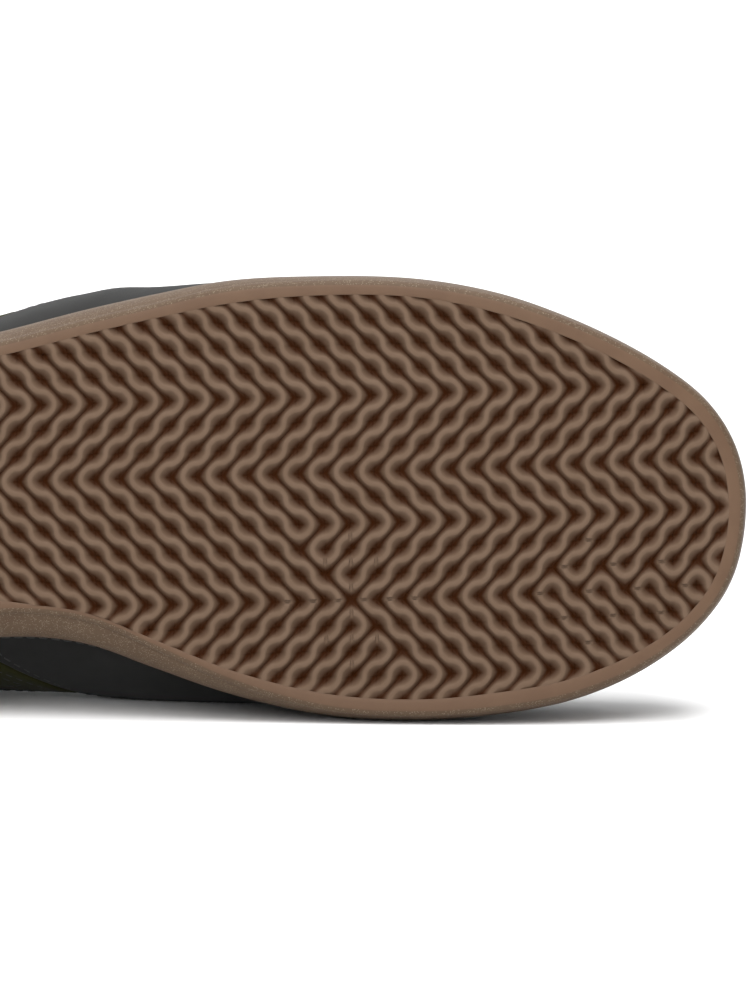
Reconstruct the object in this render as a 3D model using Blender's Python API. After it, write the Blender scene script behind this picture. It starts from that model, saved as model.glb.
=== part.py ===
"""A right skateboarding shoe with a gum rubber cup sole, lying on its medial side.

The shoe is modelled upright: heel at x = 0, toe along +X, lateral side towards -Y, ground at z = 0.
Sole and upper are worked out from one table of sections, and every overlay is cut from the upper's own form.
At the end one empty lays the whole shoe down on its sole edge and the side of its upper.
"""

import math
from typing import NamedTuple

import bmesh
import bpy
import numpy as np
from mathutils import Matrix, Vector
from mathutils.bvhtree import BVHTree

# Driving sizes of the last and the sole, in metres
LENGTH = 0.298
BALL_WIDTH = 0.1101
TOE_HEIGHT = 0.057
INSTEP_HEIGHT = 0.118
HEEL_HEIGHT = 0.080
SIDE_WALL = 0.031
TOE_SPRING = 0.011
SPRING_REACH = 0.080
ARCH_RISE = 0.0012
ARCH_PLACE = 0.38
ARCH_REACH = 0.14
SPINE_INSET = 0.036

# Cup sole
CUP_WALL = 0.0046
CUP_FLOOR = 0.0125
CUP_FLOOR_DROP = 0.3
EDGE_ROUND = 0.0020
TREAD_MARGIN = 0.0022
SIDE_FLARE = 0.0060
GROOVE_DEPTH = 0.0026
GROOVE_WIDTH = 0.0023
RIB_PITCH = 0.00626
RIBS_PER_LUG = 2
TREAD_MIDDLE = 0.0261
STAR_PLACE = 0.199
STAR_GAP = 0.45
LIP_HEIGHT = 0.0042
STITCH_DEPTH = 0.0008
WALL_DRAFT = 0.0014
WALL_FOOT = 0.22
WALL_FOOT_FLARE = 0.34
WALL_WIDEST = 0.46
WALL_UPPER = 0.66

# Upper and what sits on it and in it
FIT = 0.0003
UPPER_WALL = 0.0022
MEDIAL_BULGE = 0.0218
LATERAL_BULGE = 0.0119
ARCH_INWARD = 0.72
ARCH_UPWARD = 0.92
BULGE_POWER = 1.1
BULGE_RISE = 0.7
OVERLAY = 0.0014
PAD = 0.0060
PAD_DEPTH = 0.026
TONGUE_THICKNESS = 0.0062
TONGUE_WIDTH = 0.509 * BALL_WIDTH
TONGUE_RISE = 0.114 * LENGTH
INSOLE_THICKNESS = 0.0045
INSOLE_CLEARANCE = 0.0008
THROAT_WIDTH = 0.327 * BALL_WIDTH
THROAT_LENGTH = 0.248 * LENGTH
THROAT_FRONT = 0.691 * LENGTH
THROAT_SPREAD = 0.045
THROAT_ROUND = 0.8
EYESTAY_WIDTH = 0.154 * BALL_WIDTH
TOE_CAP_LENGTH = 0.208 * LENGTH
TOE_CAP_BOW = 0.010
TOE_CAP_WIDTH = 0.7
COLLAR_END = 0.400
COLLAR_BINDING = 0.0040
EYESTAY_END = 0.004
TONGUE_HOLD = 0.008
TONGUE_CORNER = 0.45
TONGUE_TAPER = 0.72
COUNTER_FOOT = 0.315
COUNTER_FOOT_HEIGHT = 0.9
COUNTER_SLANT = 2.0
QUARTER_FRONT = 0.665
QUARTER_LEAN = 0.045

# Eyelets and laces
EYELET_PAIRS = 6
EYELET_FRONT = 0.011
EYELET_SEGMENTS = 8
EYELET_INSET = 0.0072
EYELET_END = 0.007
EYELET_RADIUS = 0.0036
EYELET_HOLE = 0.0020
EYELET_THICKNESS = 0.0008
LACE_WIDTH = 0.0072
LACE_THICKNESS = 0.0014

# Shapes that cut in plan view start above the side wall, those of the overlays higher still
THROAT_LOW = 0.030
OVERLAY_LOW = 0.045

# How finely the forms are divided
SECTIONS = 29
ARCH_STEPS = 9
SOLE_COLUMNS = 4
LINE_STEPS = 15


class Section(NamedTuple):
    """One section across the shoe; `at` is its share of the length from the heel.

    lateral, medial: how far the sole's rim stands from the axis, shares of the ball width.
    flare_lateral, flare_medial: how far the side wall leans out, shares of SIDE_FLARE.
    wall: height of the side wall, share of SIDE_WALL.
    bulge_lateral, bulge_medial: how far the upper swells over the rim, shares of the two bulges.
    """

    at: float
    lateral: float
    medial: float
    flare_lateral: float
    flare_medial: float
    wall: float
    bulge_lateral: float
    bulge_medial: float


SHOE_SECTIONS = (
    Section(0.0000, -0.1100, 0.1100, 0.25, 0.25, 1.00, 0.200, 0.070),
    Section(0.0101, 0.0440, 0.2540, 0.25, 0.25, 1.00, 0.200, 0.070),
    Section(0.0336, 0.1360, 0.3530, 0.25, 0.26, 1.00, 0.220, 0.060),
    Section(0.0772, 0.2180, 0.4400, 0.26, 0.28, 1.00, 0.280, 0.050),
    Section(0.1443, 0.2660, 0.4860, 0.28, 0.34, 0.99, 0.340, 0.050),
    Section(0.2282, 0.2960, 0.4220, 0.34, 0.56, 0.95, 0.560, 0.290),
    Section(0.3121, 0.3370, 0.3450, 0.42, 0.86, 0.91, 0.880, 0.765),
    Section(0.3758, 0.3760, 0.3160, 0.46, 1.00, 0.89, 0.970, 0.920),
    Section(0.4497, 0.4270, 0.3330, 0.47, 0.96, 0.87, 0.940, 0.885),
    Section(0.5000, 0.4570, 0.3815, 0.44, 0.78, 0.85, 0.700, 0.700),
    Section(0.5604, 0.4880, 0.4380, 0.32, 0.50, 0.83, 0.490, 0.415),
    Section(0.6409, 0.4995, 0.4880, 0.22, 0.26, 0.82, 0.240, 0.120),
    Section(0.7282, 0.4920, 0.5015, 0.20, 0.20, 0.82, 0.160, 0.020),
    Section(0.7886, 0.4630, 0.4890, 0.18, 0.18, 0.82, 0.140, 0.040),
    Section(0.8490, 0.4080, 0.4595, 0.16, 0.16, 0.82, 0.120, 0.050),
    Section(0.8893, 0.3590, 0.4205, 0.14, 0.14, 0.82, 0.110, 0.060),
    Section(0.9295, 0.2980, 0.3605, 0.13, 0.13, 0.82, 0.100, 0.060),
    Section(0.9664, 0.2200, 0.2740, 0.12, 0.12, 0.82, 0.090, 0.050),
    Section(0.9899, 0.1245, 0.1725, 0.12, 0.12, 0.82, 0.090, 0.050),
    Section(1.0000, -0.0110, 0.0110, 0.12, 0.12, 0.82, 0.090, 0.050),
)


class Crest(NamedTuple):
    """One point of the last's top line: its share of the length, and its height from toe (0) to instep (1)."""

    at: float
    rise: float


TOP_OF_LAST = (
    Crest(0.12, 0.880),
    Crest(0.20, 0.980),
    Crest(0.28, 1.000),
    Crest(0.36, 0.930),
    Crest(0.44, 0.760),
    Crest(0.52, 0.560),
    Crest(0.60, 0.375),
    Crest(0.68, 0.225),
    Crest(0.76, 0.105),
    Crest(0.82, 0.040),
    Crest(0.88, 0.000),
)


class TopLine(NamedTuple):
    """One point of the collar's edge in side view: share of the length, share of the heel height."""

    at: float
    height: float


COLLAR_LINE = (
    TopLine(-0.08, 1.04),
    TopLine(0.03, 1.02),
    TopLine(0.09, 0.97),
    TopLine(0.17, 0.86),
    TopLine(0.25, 0.81),
    TopLine(0.33, 0.84),
    TopLine(0.40, 0.96),
    TopLine(0.46, 1.13),
    TopLine(0.52, 1.34),
)


COUNTER_EDGE = (
    TopLine(-0.08, 0.84),
    TopLine(0.06, 0.83),
    TopLine(0.13, 0.77),
    TopLine(0.20, 0.68),
    TopLine(0.28, 0.64),
    TopLine(0.36, 0.65),
    TopLine(0.45, 0.67),
)


class Fold(NamedTuple):
    """Where the tread's zigzag turns: the rib row of the turn, counted from the tread's star, and the shift in ribs."""

    row: int
    shift: int


UPPER_FOLDS = (Fold(-12, -3), Fold(-8, 1), Fold(-5, -2), Fold(-3, 0))
LOWER_FOLDS = (Fold(3, 0), Fold(6, -3))
STAR_ROWS = 3


class Finish(NamedTuple):
    """A material: its name, base colour, roughness and metallic value."""

    name: str
    colour: tuple
    roughness: float
    metallic: float = 0.0


GUM = Finish("gum_rubber", (0.26, 0.18, 0.115), 0.55)
SUEDE = Finish("charcoal_suede", (0.045, 0.045, 0.043), 0.85)
OLIVE = Finish("olive_suede", (0.075, 0.078, 0.035), 0.85)
LINING = Finish("collar_textile", (0.030, 0.030, 0.030), 0.9)
FOAM = Finish("insole_textile", (0.10, 0.10, 0.095), 0.9)
LACE = Finish("lace_textile", (0.035, 0.035, 0.035), 0.85)
EYELET = Finish("eyelet_enamel", (0.05, 0.05, 0.05), 0.35, 0.6)


# Curves through the tables


def smooth_curve(places, values):
    """A smooth function through the given values, with each slope read from the neighbours."""
    places = np.asarray(places, float)
    values = np.asarray(values, float)
    slopes = np.gradient(values, places)

    def read(at):
        at = np.clip(at, places[0], places[-1])
        i = np.clip(np.searchsorted(places, at) - 1, 0, len(places) - 2)
        width = places[i + 1] - places[i]
        t = (at - places[i]) / width
        rise = values[i + 1] - values[i]
        start = slopes[i] * width
        end = slopes[i + 1] * width
        return values[i] + t * (start + t * (3 * rise - 2 * start - end + t * (start + end - 2 * rise)))

    return read


def way_of(share):
    """The way along the rim, 0 at the heel and 1 at the toe tip, of a share of the length."""
    return np.arccos(1 - 2 * np.asarray(share, float)) / math.pi


def share_of(way):
    """The share of the length of a way along the rim."""
    return (1 - np.cos(math.pi * np.asarray(way, float))) / 2


def column(name):
    """One column of the section table as a smooth function of the way along the rim."""
    return smooth_curve(way_of([row.at for row in SHOE_SECTIONS]), [getattr(row, name) for row in SHOE_SECTIONS])


RIM = {-1: column("lateral"), 1: column("medial")}
FLARE = {-1: column("flare_lateral"), 1: column("flare_medial")}
BULGE = {-1: column("bulge_lateral"), 1: column("bulge_medial")}
BULGE_SIZE = {-1: LATERAL_BULGE, 1: MEDIAL_BULGE}
WALL = column("wall")
CREST = smooth_curve([row.at for row in TOP_OF_LAST], [row.rise for row in TOP_OF_LAST])
COLLAR = smooth_curve([row.at * LENGTH for row in COLLAR_LINE], [row.height * HEEL_HEIGHT for row in COLLAR_LINE])
COUNTER = smooth_curve([row.at * LENGTH for row in COUNTER_EDGE], [row.height * HEEL_HEIGHT for row in COUNTER_EDGE])


# The sole's heights


def bottom_height(x):
    """Height of the sole's underside: flat, a little hollow at the arch, rising along the toe spring."""
    share = np.asarray(x, float) / LENGTH
    along_arch = np.clip((share - ARCH_PLACE) / ARCH_REACH, -1, 1)
    arch = ARCH_RISE * (1 + np.cos(math.pi * along_arch)) / 2
    spring = np.clip((x - (LENGTH - SPRING_REACH)) / SPRING_REACH, 0, 1) ** 2
    return arch + TOE_SPRING * spring


def lip_height(x):
    """Height of the cup's upper edge."""
    way = way_of(np.clip(np.asarray(x, float) / LENGTH, 0, 1))
    return bottom_height(x) + SIDE_WALL * WALL(way)


def floor_height(x):
    """Height of the cup's inner floor."""
    share = np.clip(np.asarray(x, float) / LENGTH, 0, 1)
    return bottom_height(x) + CUP_FLOOR * (1 - CUP_FLOOR_DROP * (share - 1 / 3))


# Rings round the shoe: lateral side from heel to toe, then medial side back to the heel

WAYS = np.linspace(0, 1, SECTIONS)
SIDES = np.concatenate([-np.ones(SECTIONS), np.ones(SECTIONS - 2)])
RING_WAYS = np.concatenate([WAYS, WAYS[-2:0:-1]])
RING = len(RING_WAYS)


def rim_point(way, side):
    return np.array([LENGTH * share_of(way), side * BALL_WIDTH * RIM[int(side)](way)])


def rim_normal(way, side):
    """The outward direction of the rim in plan view; past the heel and the toe the curve goes on along the other side."""
    step = 1e-3

    def beyond(place):
        if place < 0:
            return rim_point(-place, -side)
        if place > 1:
            return rim_point(2 - place, -side)
        return rim_point(place, side)

    along = beyond(way + step) - beyond(way - step)
    out = side * np.array([-along[1], along[0]])
    return out / np.linalg.norm(out)


RIM_POINTS = np.array([rim_point(w, s) for w, s in zip(RING_WAYS, SIDES)])
RIM_NORMALS = np.array([rim_normal(w, s) for w, s in zip(RING_WAYS, SIDES)])
RING_FLARE = SIDE_FLARE * np.array([FLARE[int(s)](w) for w, s in zip(RING_WAYS, SIDES)])
RING_BULGE = np.array([BULGE_SIZE[int(s)] * BULGE[int(s)](w) for w, s in zip(RING_WAYS, SIDES)])


def ring_at(inset, height):
    """A ring inside the rim by `inset`, at the heights that `height` gives along the shoe."""
    plan = RIM_POINTS - RIM_NORMALS * np.broadcast_to(inset, RING)[:, None]
    return np.column_stack([plan, height(plan[:, 0])])


def partner(index):
    """The place on the other side of the shoe of a place on a ring."""
    return (RING - index) % RING


def across(ring, columns, height):
    """Rows of points across the shoe between the two sides of a ring."""
    rows = []
    for i in range(SECTIONS):
        share = np.linspace(0, 1, columns + 1)[:, None]
        row = ring[i] * (1 - share) + ring[partner(i)] * share
        row[1:-1, 2] = height(row[1:-1, 0])
        rows.append(row)
    return np.array(rows)


# Objects


def collection(name, shown=True):
    made = bpy.data.collections.new(name)
    bpy.context.scene.collection.children.link(made)
    made.hide_render = not shown
    return made


def clear_scene():
    for obj in list(bpy.data.objects):
        bpy.data.objects.remove(obj, do_unlink=True)


def material(finish):
    made = bpy.data.materials.get(finish.name) or bpy.data.materials.new(finish.name)
    made.use_nodes = True
    shader = made.node_tree.nodes["Principled BSDF"]
    shader.inputs["Base Color"].default_value = (*finish.colour, 1)
    shader.inputs["Roughness"].default_value = finish.roughness
    shader.inputs["Metallic"].default_value = finish.metallic
    return made


def finished(mesh, merge=1e-6):
    """Merges the points that meet and turns every face outward."""
    bm = bmesh.new()
    bm.from_mesh(mesh)
    bmesh.ops.remove_doubles(bm, verts=bm.verts, dist=merge)
    bmesh.ops.dissolve_degenerate(bm, edges=bm.edges, dist=merge)
    bmesh.ops.recalc_face_normals(bm, faces=bm.faces)
    bm.to_mesh(mesh)
    bm.free()


def add_object(name, mesh, home, finish=None):
    obj = bpy.data.objects.new(name, mesh)
    home.objects.link(obj)
    if finish:
        mesh.materials.append(material(finish))
        mesh.shade_smooth()
        mesh.set_sharp_from_angle(angle=math.radians(35))
    else:
        obj.hide_render = True
        obj.display_type = "WIRE"
    return obj


def grid_faces(rows, columns, wrap):
    """Triangles of a grid of points numbered row by row; `wrap` closes each row on itself.

    Every square is split along the same diagonal, so that the faces of two walls offset from one form stay parallel.
    """
    faces = []
    for row in range(rows - 1):
        for left in range(columns if wrap else columns - 1):
            right = (left + 1) % columns
            a, b = row * columns + left, row * columns + right
            d, c = a + columns, b + columns
            faces += [(a, b, c), (a, c, d)]
    return faces


def lofted(name, grids):
    """One mesh from several grids of points, each (points, wrap); their shared edges are merged."""
    points = []
    faces = []
    for grid, wrap in grids:
        first = len(points)
        rows, columns = grid.shape[:2]
        points.extend(grid.reshape(-1, 3).tolist())
        faces.extend(tuple(first + i for i in face) for face in grid_faces(rows, columns, wrap))
    mesh = bpy.data.meshes.new(name)
    mesh.from_pydata(points, [], faces)
    finished(mesh)
    return mesh


def prism(name, outline, turn, low, high, home):
    """A flat outline filled and pulled out between two distances along its own normal; `turn` stands it up."""
    curve = bpy.data.curves.new(name, "CURVE")
    curve.dimensions = "2D"
    curve.fill_mode = "BOTH"
    curve.extrude = (high - low) / 2
    spline = curve.splines.new("POLY")
    spline.points.add(len(outline) - 1)
    for point, (a, b) in zip(spline.points, outline):
        point.co = (a, b, 0, 1)
    spline.use_cyclic_u = True
    flat = bpy.data.objects.new(name, curve)
    home.objects.link(flat)
    bpy.context.view_layer.update()
    mesh = bpy.data.meshes.new_from_object(flat.evaluated_get(bpy.context.evaluated_depsgraph_get()))
    bpy.data.objects.remove(flat)
    bpy.data.curves.remove(curve)
    mesh.transform(turn @ Matrix.Translation((0, 0, (low + high) / 2)))
    finished(mesh)
    return add_object(name, mesh, home)


PLAN = Matrix.Identity(4)
SIDE_VIEW = Matrix.Rotation(math.radians(90), 4, "X")
FAR = 0.3
BEYOND = 0.02


def boolean(obj, other, operation):
    made = obj.modifiers.new(f"{operation.lower()} {other.name}", "BOOLEAN")
    made.operation = operation
    made.object = other
    made.solver = "EXACT"


# Sole


def sole_mesh():
    """The cup sole: underside, rounded edge, flared side wall with its stitch groove, lip, cup wall and floor."""

    def part_way(share):
        return lambda x: bottom_height(x) + share * (lip_height(x) - bottom_height(x))

    def above(rise):
        return lambda x: bottom_height(x) + rise

    def below_lip(drop):
        return lambda x: lip_height(x) - drop

    corner = EDGE_ROUND * (1 - math.sqrt(0.5))
    foot = ring_at(RING_FLARE + EDGE_ROUND, bottom_height)
    rings = [
        foot,
        ring_at(RING_FLARE + corner, above(corner)),
        ring_at(RING_FLARE, above(EDGE_ROUND)),
        ring_at(RING_FLARE * WALL_FOOT_FLARE, part_way(WALL_FOOT)),
        ring_at(0.0, part_way(WALL_WIDEST)),
        ring_at(WALL_DRAFT / 2, part_way(WALL_UPPER)),
        ring_at(WALL_DRAFT, below_lip(LIP_HEIGHT + STITCH_DEPTH)),
        ring_at(WALL_DRAFT + STITCH_DEPTH, below_lip(LIP_HEIGHT)),
        ring_at(WALL_DRAFT, below_lip(LIP_HEIGHT - STITCH_DEPTH)),
        ring_at(WALL_DRAFT, below_lip(STITCH_DEPTH)),
        ring_at(WALL_DRAFT + STITCH_DEPTH, lip_height),
        ring_at(CUP_WALL, lip_height),
        ring_at(CUP_WALL, floor_height),
    ]
    under = across(foot, SOLE_COLUMNS, bottom_height)
    floor = across(rings[-1], SOLE_COLUMNS, floor_height)
    return lofted("outsole", [(np.array(rings), True), (under, False), (floor, False)])


def groove_paths(column):
    """The paths, in ribs from the star, of the grooves that pass `column` above and below the star's rows.

    Behind the star the zigzag points forward, in front of it backward, and between them the grooves end on the
    diagonal through the star.
    """
    upper = [(column + fold.shift, fold.row) for fold in UPPER_FOLDS]
    lower = [(column + fold.shift, fold.row) for fold in LOWER_FOLDS]
    if column <= -STAR_ROWS:
        return [[*upper, (column + STAR_ROWS, 0), *lower]]
    if column >= STAR_ROWS:
        return [[*upper, (column - STAR_ROWS, 0), *lower]]
    above = (column - STAR_ROWS) / 2 - STAR_GAP
    below = (column + STAR_ROWS) / 2 + STAR_GAP
    return [[*upper, (column - STAR_ROWS - above, above)], [(column + STAR_ROWS - below, below), *lower]]


def groove_band(bm, path):
    """One closed band along a path, from below the sole to the groove's floor, its width square to its legs."""
    half = GROOVE_WIDTH / math.sqrt(2)
    loops = []
    for column, row in path:
        x = STAR_PLACE + column * RIB_PITCH
        y = TREAD_MIDDLE + row * RIB_PITCH
        surface = float(bottom_height(min(max(x, 0), LENGTH)))
        low = surface - GROOVE_DEPTH
        high = surface + GROOVE_DEPTH
        ring = ((x - half, y, low), (x + half, y, low), (x + half, y, high), (x - half, y, high))
        loops.append([bm.verts.new(point) for point in ring])
    for one, two in zip(loops, loops[1:]):
        for i in range(4):
            bm.faces.new((one[i], one[(i + 1) % 4], two[(i + 1) % 4], two[i]))
    bm.faces.new(loops[0][::-1])
    bm.faces.new(loops[-1])


def tread_grooves(home):
    """Zigzag grooves between the lugs, cut off at the smooth margin round the tread."""
    bm = bmesh.new()
    lug = RIB_PITCH * RIBS_PER_LUG
    behind = int(STAR_PLACE / lug) + 2
    ahead = int((LENGTH - STAR_PLACE) / lug) + 2
    for index in range(-behind, ahead + 1):
        for path in groove_paths(index * RIBS_PER_LUG):
            groove_band(bm, path)
    bmesh.ops.recalc_face_normals(bm, faces=bm.faces)
    mesh = bpy.data.meshes.new("tread_grooves")
    bm.to_mesh(mesh)
    bm.free()
    grooves = add_object("tread_grooves", mesh, home)
    field_edge = RING_FLARE + EDGE_ROUND + TREAD_MARGIN
    sides = np.array([ring_at(field_edge, lambda x: x * 0 - FAR), ring_at(field_edge, lambda x: x * 0 + FAR)])
    ends = [(across(side, 1, lambda x: x), False) for side in sides]
    field = add_object("tread_field", lofted("tread_field", [(sides, True), *ends]), home)
    boolean(grooves, field, "INTERSECT")
    return grooves


def make_outsole(home, cutters):
    outsole = add_object("outsole", sole_mesh(), home, GUM)
    boolean(outsole, tread_grooves(cutters), "DIFFERENCE")
    return outsole


def make_insole(home):
    """The sock liner: a plate on the cup's floor, just inside the upper."""
    inset = CUP_WALL + FIT + UPPER_WALL + INSOLE_CLEARANCE
    low = ring_at(inset, lambda x: floor_height(x) + FIT)
    high = ring_at(inset, lambda x: floor_height(x) + FIT + INSOLE_THICKNESS)
    under = across(low, 2, lambda x: floor_height(x) + FIT)
    top = across(high, 2, lambda x: floor_height(x) + FIT + INSOLE_THICKNESS)
    mesh = lofted("insole", [(np.array([low, high]), True), (under, False), (top, False)])
    return add_object("insole", mesh, home, FOAM)


# Upper


def crest_line():
    """The last's top line, a point for each place on a ring."""
    x = SPINE_INSET + (LENGTH - 2 * SPINE_INSET) * share_of(RING_WAYS)
    rim = BALL_WIDTH * np.array([(RIM[1](w) - RIM[-1](w)) / 2 for w in RING_WAYS])
    z = TOE_HEIGHT + (INSTEP_HEIGHT - TOE_HEIGHT) * CREST(x / LENGTH)
    return np.column_stack([x, rim, z])


def last_form(offset):
    """Rings of the upper's outer face, moved out by `offset`, from the cup's floor up to the top line."""
    foot = ring_at(CUP_WALL + FIT, lambda x: floor_height(x) + FIT)
    base = ring_at(CUP_WALL + FIT, lambda x: lip_height(x) + FIT)
    crest = crest_line()
    rings = [foot, base]
    for step in range(1, ARCH_STEPS + 1):
        angle = math.pi / 2 * step / ARCH_STEPS
        inward = math.cos(angle) ** ARCH_INWARD if step < ARCH_STEPS else 0.0
        upward = math.sin(angle) ** ARCH_UPWARD
        ring = crest + (base - crest) * np.array([inward, inward, 1 - upward])
        swell = max(0.0, math.sin(math.pi * upward**BULGE_RISE)) ** BULGE_POWER
        ring[:, :2] += RIM_NORMALS * (RING_BULGE * swell)[:, None]
        rings.append(ring)
    rings = np.array(rings)
    around = np.roll(rings, -1, axis=1) - np.roll(rings, 1, axis=1)
    up = np.gradient(rings, axis=0)
    up[0] = (0, 0, 1)
    up[1] = (0, 0, 1)
    around[-1, [0, SECTIONS - 1]] = (0, 1, 0)
    up[-1, 0] = (1, 0, 0)
    up[-1, SECTIONS - 1] = (-1, 0, 0)
    normals = np.cross(around, up)
    normals[-1] *= np.sign(normals[-1, :, 2:])
    normals[:-1] *= np.sign(np.sum(normals[1, SECTIONS // 2, :2] * RIM_NORMALS[SECTIONS // 2]))
    normals /= np.linalg.norm(normals, axis=2)[:, :, None]
    partners = partner(np.arange(RING))
    normals[-1] += normals[-1][partners]
    normals[-1] /= np.linalg.norm(normals[-1], axis=1)[:, None]
    return rings + normals * offset


def skin(name, near, far, home, finish):
    """A wall of the upper's own form: closed between the faces that lie `near` and `far` out from it."""
    outside = last_form(far)
    inside = last_form(near)
    foot = np.array([outside[0], inside[0]])
    return add_object(name, lofted(name, [(outside, True), (inside, True), (foot, True)]), home, finish)


def above_collar(name, drop, home):
    """Everything above a line that runs `drop` below the collar's edge, in side view."""
    xs = np.linspace(COLLAR_LINE[0].at, COLLAR_LINE[-1].at, LINE_STEPS) * LENGTH
    edge = [(x, COLLAR(x) - drop) for x in xs]
    outline = edge + [(edge[-1][0], FAR), (edge[0][0], FAR)]
    return prism(name, outline, SIDE_VIEW, -FAR, FAR, home)


def throat_outline(widen, beyond):
    """The throat in plan view: a slot with a round front end that widens and opens towards the collar."""
    half = THROAT_WIDTH / 2 + widen
    tip = THROAT_FRONT + widen
    back = THROAT_FRONT - THROAT_LENGTH - beyond
    reach = half * THROAT_ROUND
    turns = np.linspace(0, math.pi, 9)
    round_end = [(tip - reach + reach * math.sin(a), half * math.cos(a)) for a in turns]
    wide = half + THROAT_SPREAD * (tip - reach - back)
    return [(back, wide), *round_end, (back, -wide)]


def below_lip(home):
    """Everything below the cup's upper edge, in side view, for overlays to stop at."""
    xs = np.linspace(-BEYOND, LENGTH + BEYOND, SECTIONS)
    edge = [(x, lip_height(np.clip(x, 0, LENGTH)) + FIT) for x in xs]
    outline = [(edge[0][0], -FAR), (edge[-1][0], -FAR)] + edge[::-1]
    return prism("below_lip", outline, SIDE_VIEW, -FAR, FAR, home)


class Cutters:
    """The shapes that open the upper and trim its overlays."""

    def __init__(self, home):
        self.home = home
        self.collar = above_collar("above_collar", 0.0, home)
        self.collar_edge = above_collar("above_collar_edge", COLLAR_BINDING, home)
        self.throat = prism("throat", throat_outline(0, THROAT_LENGTH), PLAN, THROAT_LOW, FAR, home)
        self.lip = below_lip(home)
        self.counter_room = prism("counter_room", counter_outline(FIT), SIDE_VIEW, -FAR, FAR, home)
        wide = throat_outline(EYESTAY_WIDTH + FIT, EYESTAY_END + FIT)
        self.eyestay_room = prism("eyestay_room", wide, PLAN, OVERLAY_LOW, FAR, home)


def make_upper(home, cutters):
    upper = skin("upper", -UPPER_WALL, 0.0, home, SUEDE)
    boolean(upper, cutters.collar, "DIFFERENCE")
    boolean(upper, cutters.throat, "DIFFERENCE")
    return upper


def make_collar(home, cutters):
    """The padded lining: a band below the collar's edge, inside the upper, up to the tongue."""
    outside = -(UPPER_WALL + FIT)
    collar = skin("collar", outside - PAD, outside, home, LINING)
    xs = np.linspace(-BEYOND, LENGTH * COLLAR_END, LINE_STEPS)
    top = [(x, COLLAR(x)) for x in xs]
    low = [(x, COLLAR(x) - PAD_DEPTH) for x in xs]
    band = prism("collar_band", low + top[::-1], SIDE_VIEW, -FAR, FAR, cutters.home)
    boolean(collar, band, "INTERSECT")
    room = prism("tongue_room", tongue_outline(FIT), PLAN, THROAT_LOW, FAR, cutters.home)
    boolean(collar, room, "DIFFERENCE")
    return collar


def tongue_outline(widen):
    """The tongue in plan view, with round corners at its upper end."""
    front = THROAT_FRONT + TONGUE_HOLD + widen
    back = THROAT_FRONT - THROAT_LENGTH - TONGUE_RISE - widen
    half = TONGUE_WIDTH / 2 + widen
    corner = half * TONGUE_CORNER
    turns = np.linspace(0, math.pi / 2, 5)
    left = [(back + corner * (1 - math.sin(a)), half - corner * (1 - math.cos(a))) for a in turns]
    right = [(x, -y) for x, y in left[::-1]]
    return [(front, -half * TONGUE_TAPER), (front, half * TONGUE_TAPER), *left, *right]


def make_tongue(home, cutters):
    """The padded tongue: under the throat and out above the collar."""
    outside = -(UPPER_WALL + FIT)
    tongue = skin("tongue", outside - TONGUE_THICKNESS, outside, home, LINING)
    shape = prism("tongue_shape", tongue_outline(0), PLAN, OVERLAY_LOW, FAR, cutters.home)
    boolean(tongue, shape, "INTERSECT")
    return tongue


def make_eyestay(home, cutters):
    eyestay = skin("eyestay", FIT, FIT + OVERLAY, home, SUEDE)
    shape = prism("eyestay_shape", throat_outline(EYESTAY_WIDTH, EYESTAY_END), PLAN, OVERLAY_LOW, FAR, cutters.home)
    boolean(eyestay, shape, "INTERSECT")
    boolean(eyestay, cutters.collar, "DIFFERENCE")
    boolean(eyestay, cutters.throat, "DIFFERENCE")
    return eyestay


def make_toe_cap(home, cutters):
    """The toe overlay, with a bowed rear edge."""
    toe_cap = skin("toe_cap", FIT, FIT + OVERLAY, home, SUEDE)
    edge = LENGTH - TOE_CAP_LENGTH
    wide = BALL_WIDTH * TOE_CAP_WIDTH
    rear = [(edge + TOE_CAP_BOW * (1 - t * t), wide * t) for t in np.linspace(-1, 1, 9)]
    outline = [(LENGTH * 1.1, -wide), *rear, (LENGTH * 1.1, wide)]
    shape = prism("toe_cap_shape", outline, PLAN, 0.0, FAR, cutters.home)
    boolean(toe_cap, shape, "INTERSECT")
    boolean(toe_cap, cutters.lip, "DIFFERENCE")
    return toe_cap


def counter_outline(widen):
    """The heel overlay in side view: high at the back, its front edge slants up from the sole to a tip at the arch."""
    xs = np.linspace(COUNTER_EDGE[0].at, COUNTER_EDGE[-1].at, LINE_STEPS) * LENGTH
    edge = [(x, COUNTER(x) + widen) for x in xs]
    foot = COUNTER_FOOT * LENGTH + widen * COUNTER_SLANT
    tip = edge[-1][0] + widen * COUNTER_SLANT
    return [(edge[0][0], 0.0), (foot, 0.0), (foot, COUNTER_FOOT_HEIGHT * SIDE_WALL), (tip, edge[-1][1]), *edge[::-1]]


def make_counter(home, cutters):
    counter = skin("heel_counter", FIT, FIT + OVERLAY, home, OLIVE)
    shape = prism("counter_shape", counter_outline(0), SIDE_VIEW, -FAR, FAR, cutters.home)
    boolean(counter, shape, "INTERSECT")
    boolean(counter, cutters.lip, "DIFFERENCE")
    return counter


def make_quarter(name, side, home, cutters):
    """One side overlay: between heel counter and vamp, from the sole up to collar and eyestay."""
    quarter = skin(name, FIT, FIT + OVERLAY, home, SUEDE)
    low = QUARTER_FRONT * LENGTH
    high = low - QUARTER_LEAN
    outline = [(-BEYOND, 0.0), (low, 0.0), (low, SIDE_WALL), (high, FAR / 3), (-BEYOND, FAR / 3)]
    near, far = (FIT, FAR) if side < 0 else (-FAR, -FIT)
    shape = prism(f"{name}_shape", outline, SIDE_VIEW, near, far, cutters.home)
    boolean(quarter, shape, "INTERSECT")
    boolean(quarter, cutters.lip, "DIFFERENCE")
    boolean(quarter, cutters.counter_room, "DIFFERENCE")
    boolean(quarter, cutters.eyestay_room, "DIFFERENCE")
    boolean(quarter, cutters.collar_edge, "DIFFERENCE")
    return quarter


# Eyelets and laces


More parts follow.
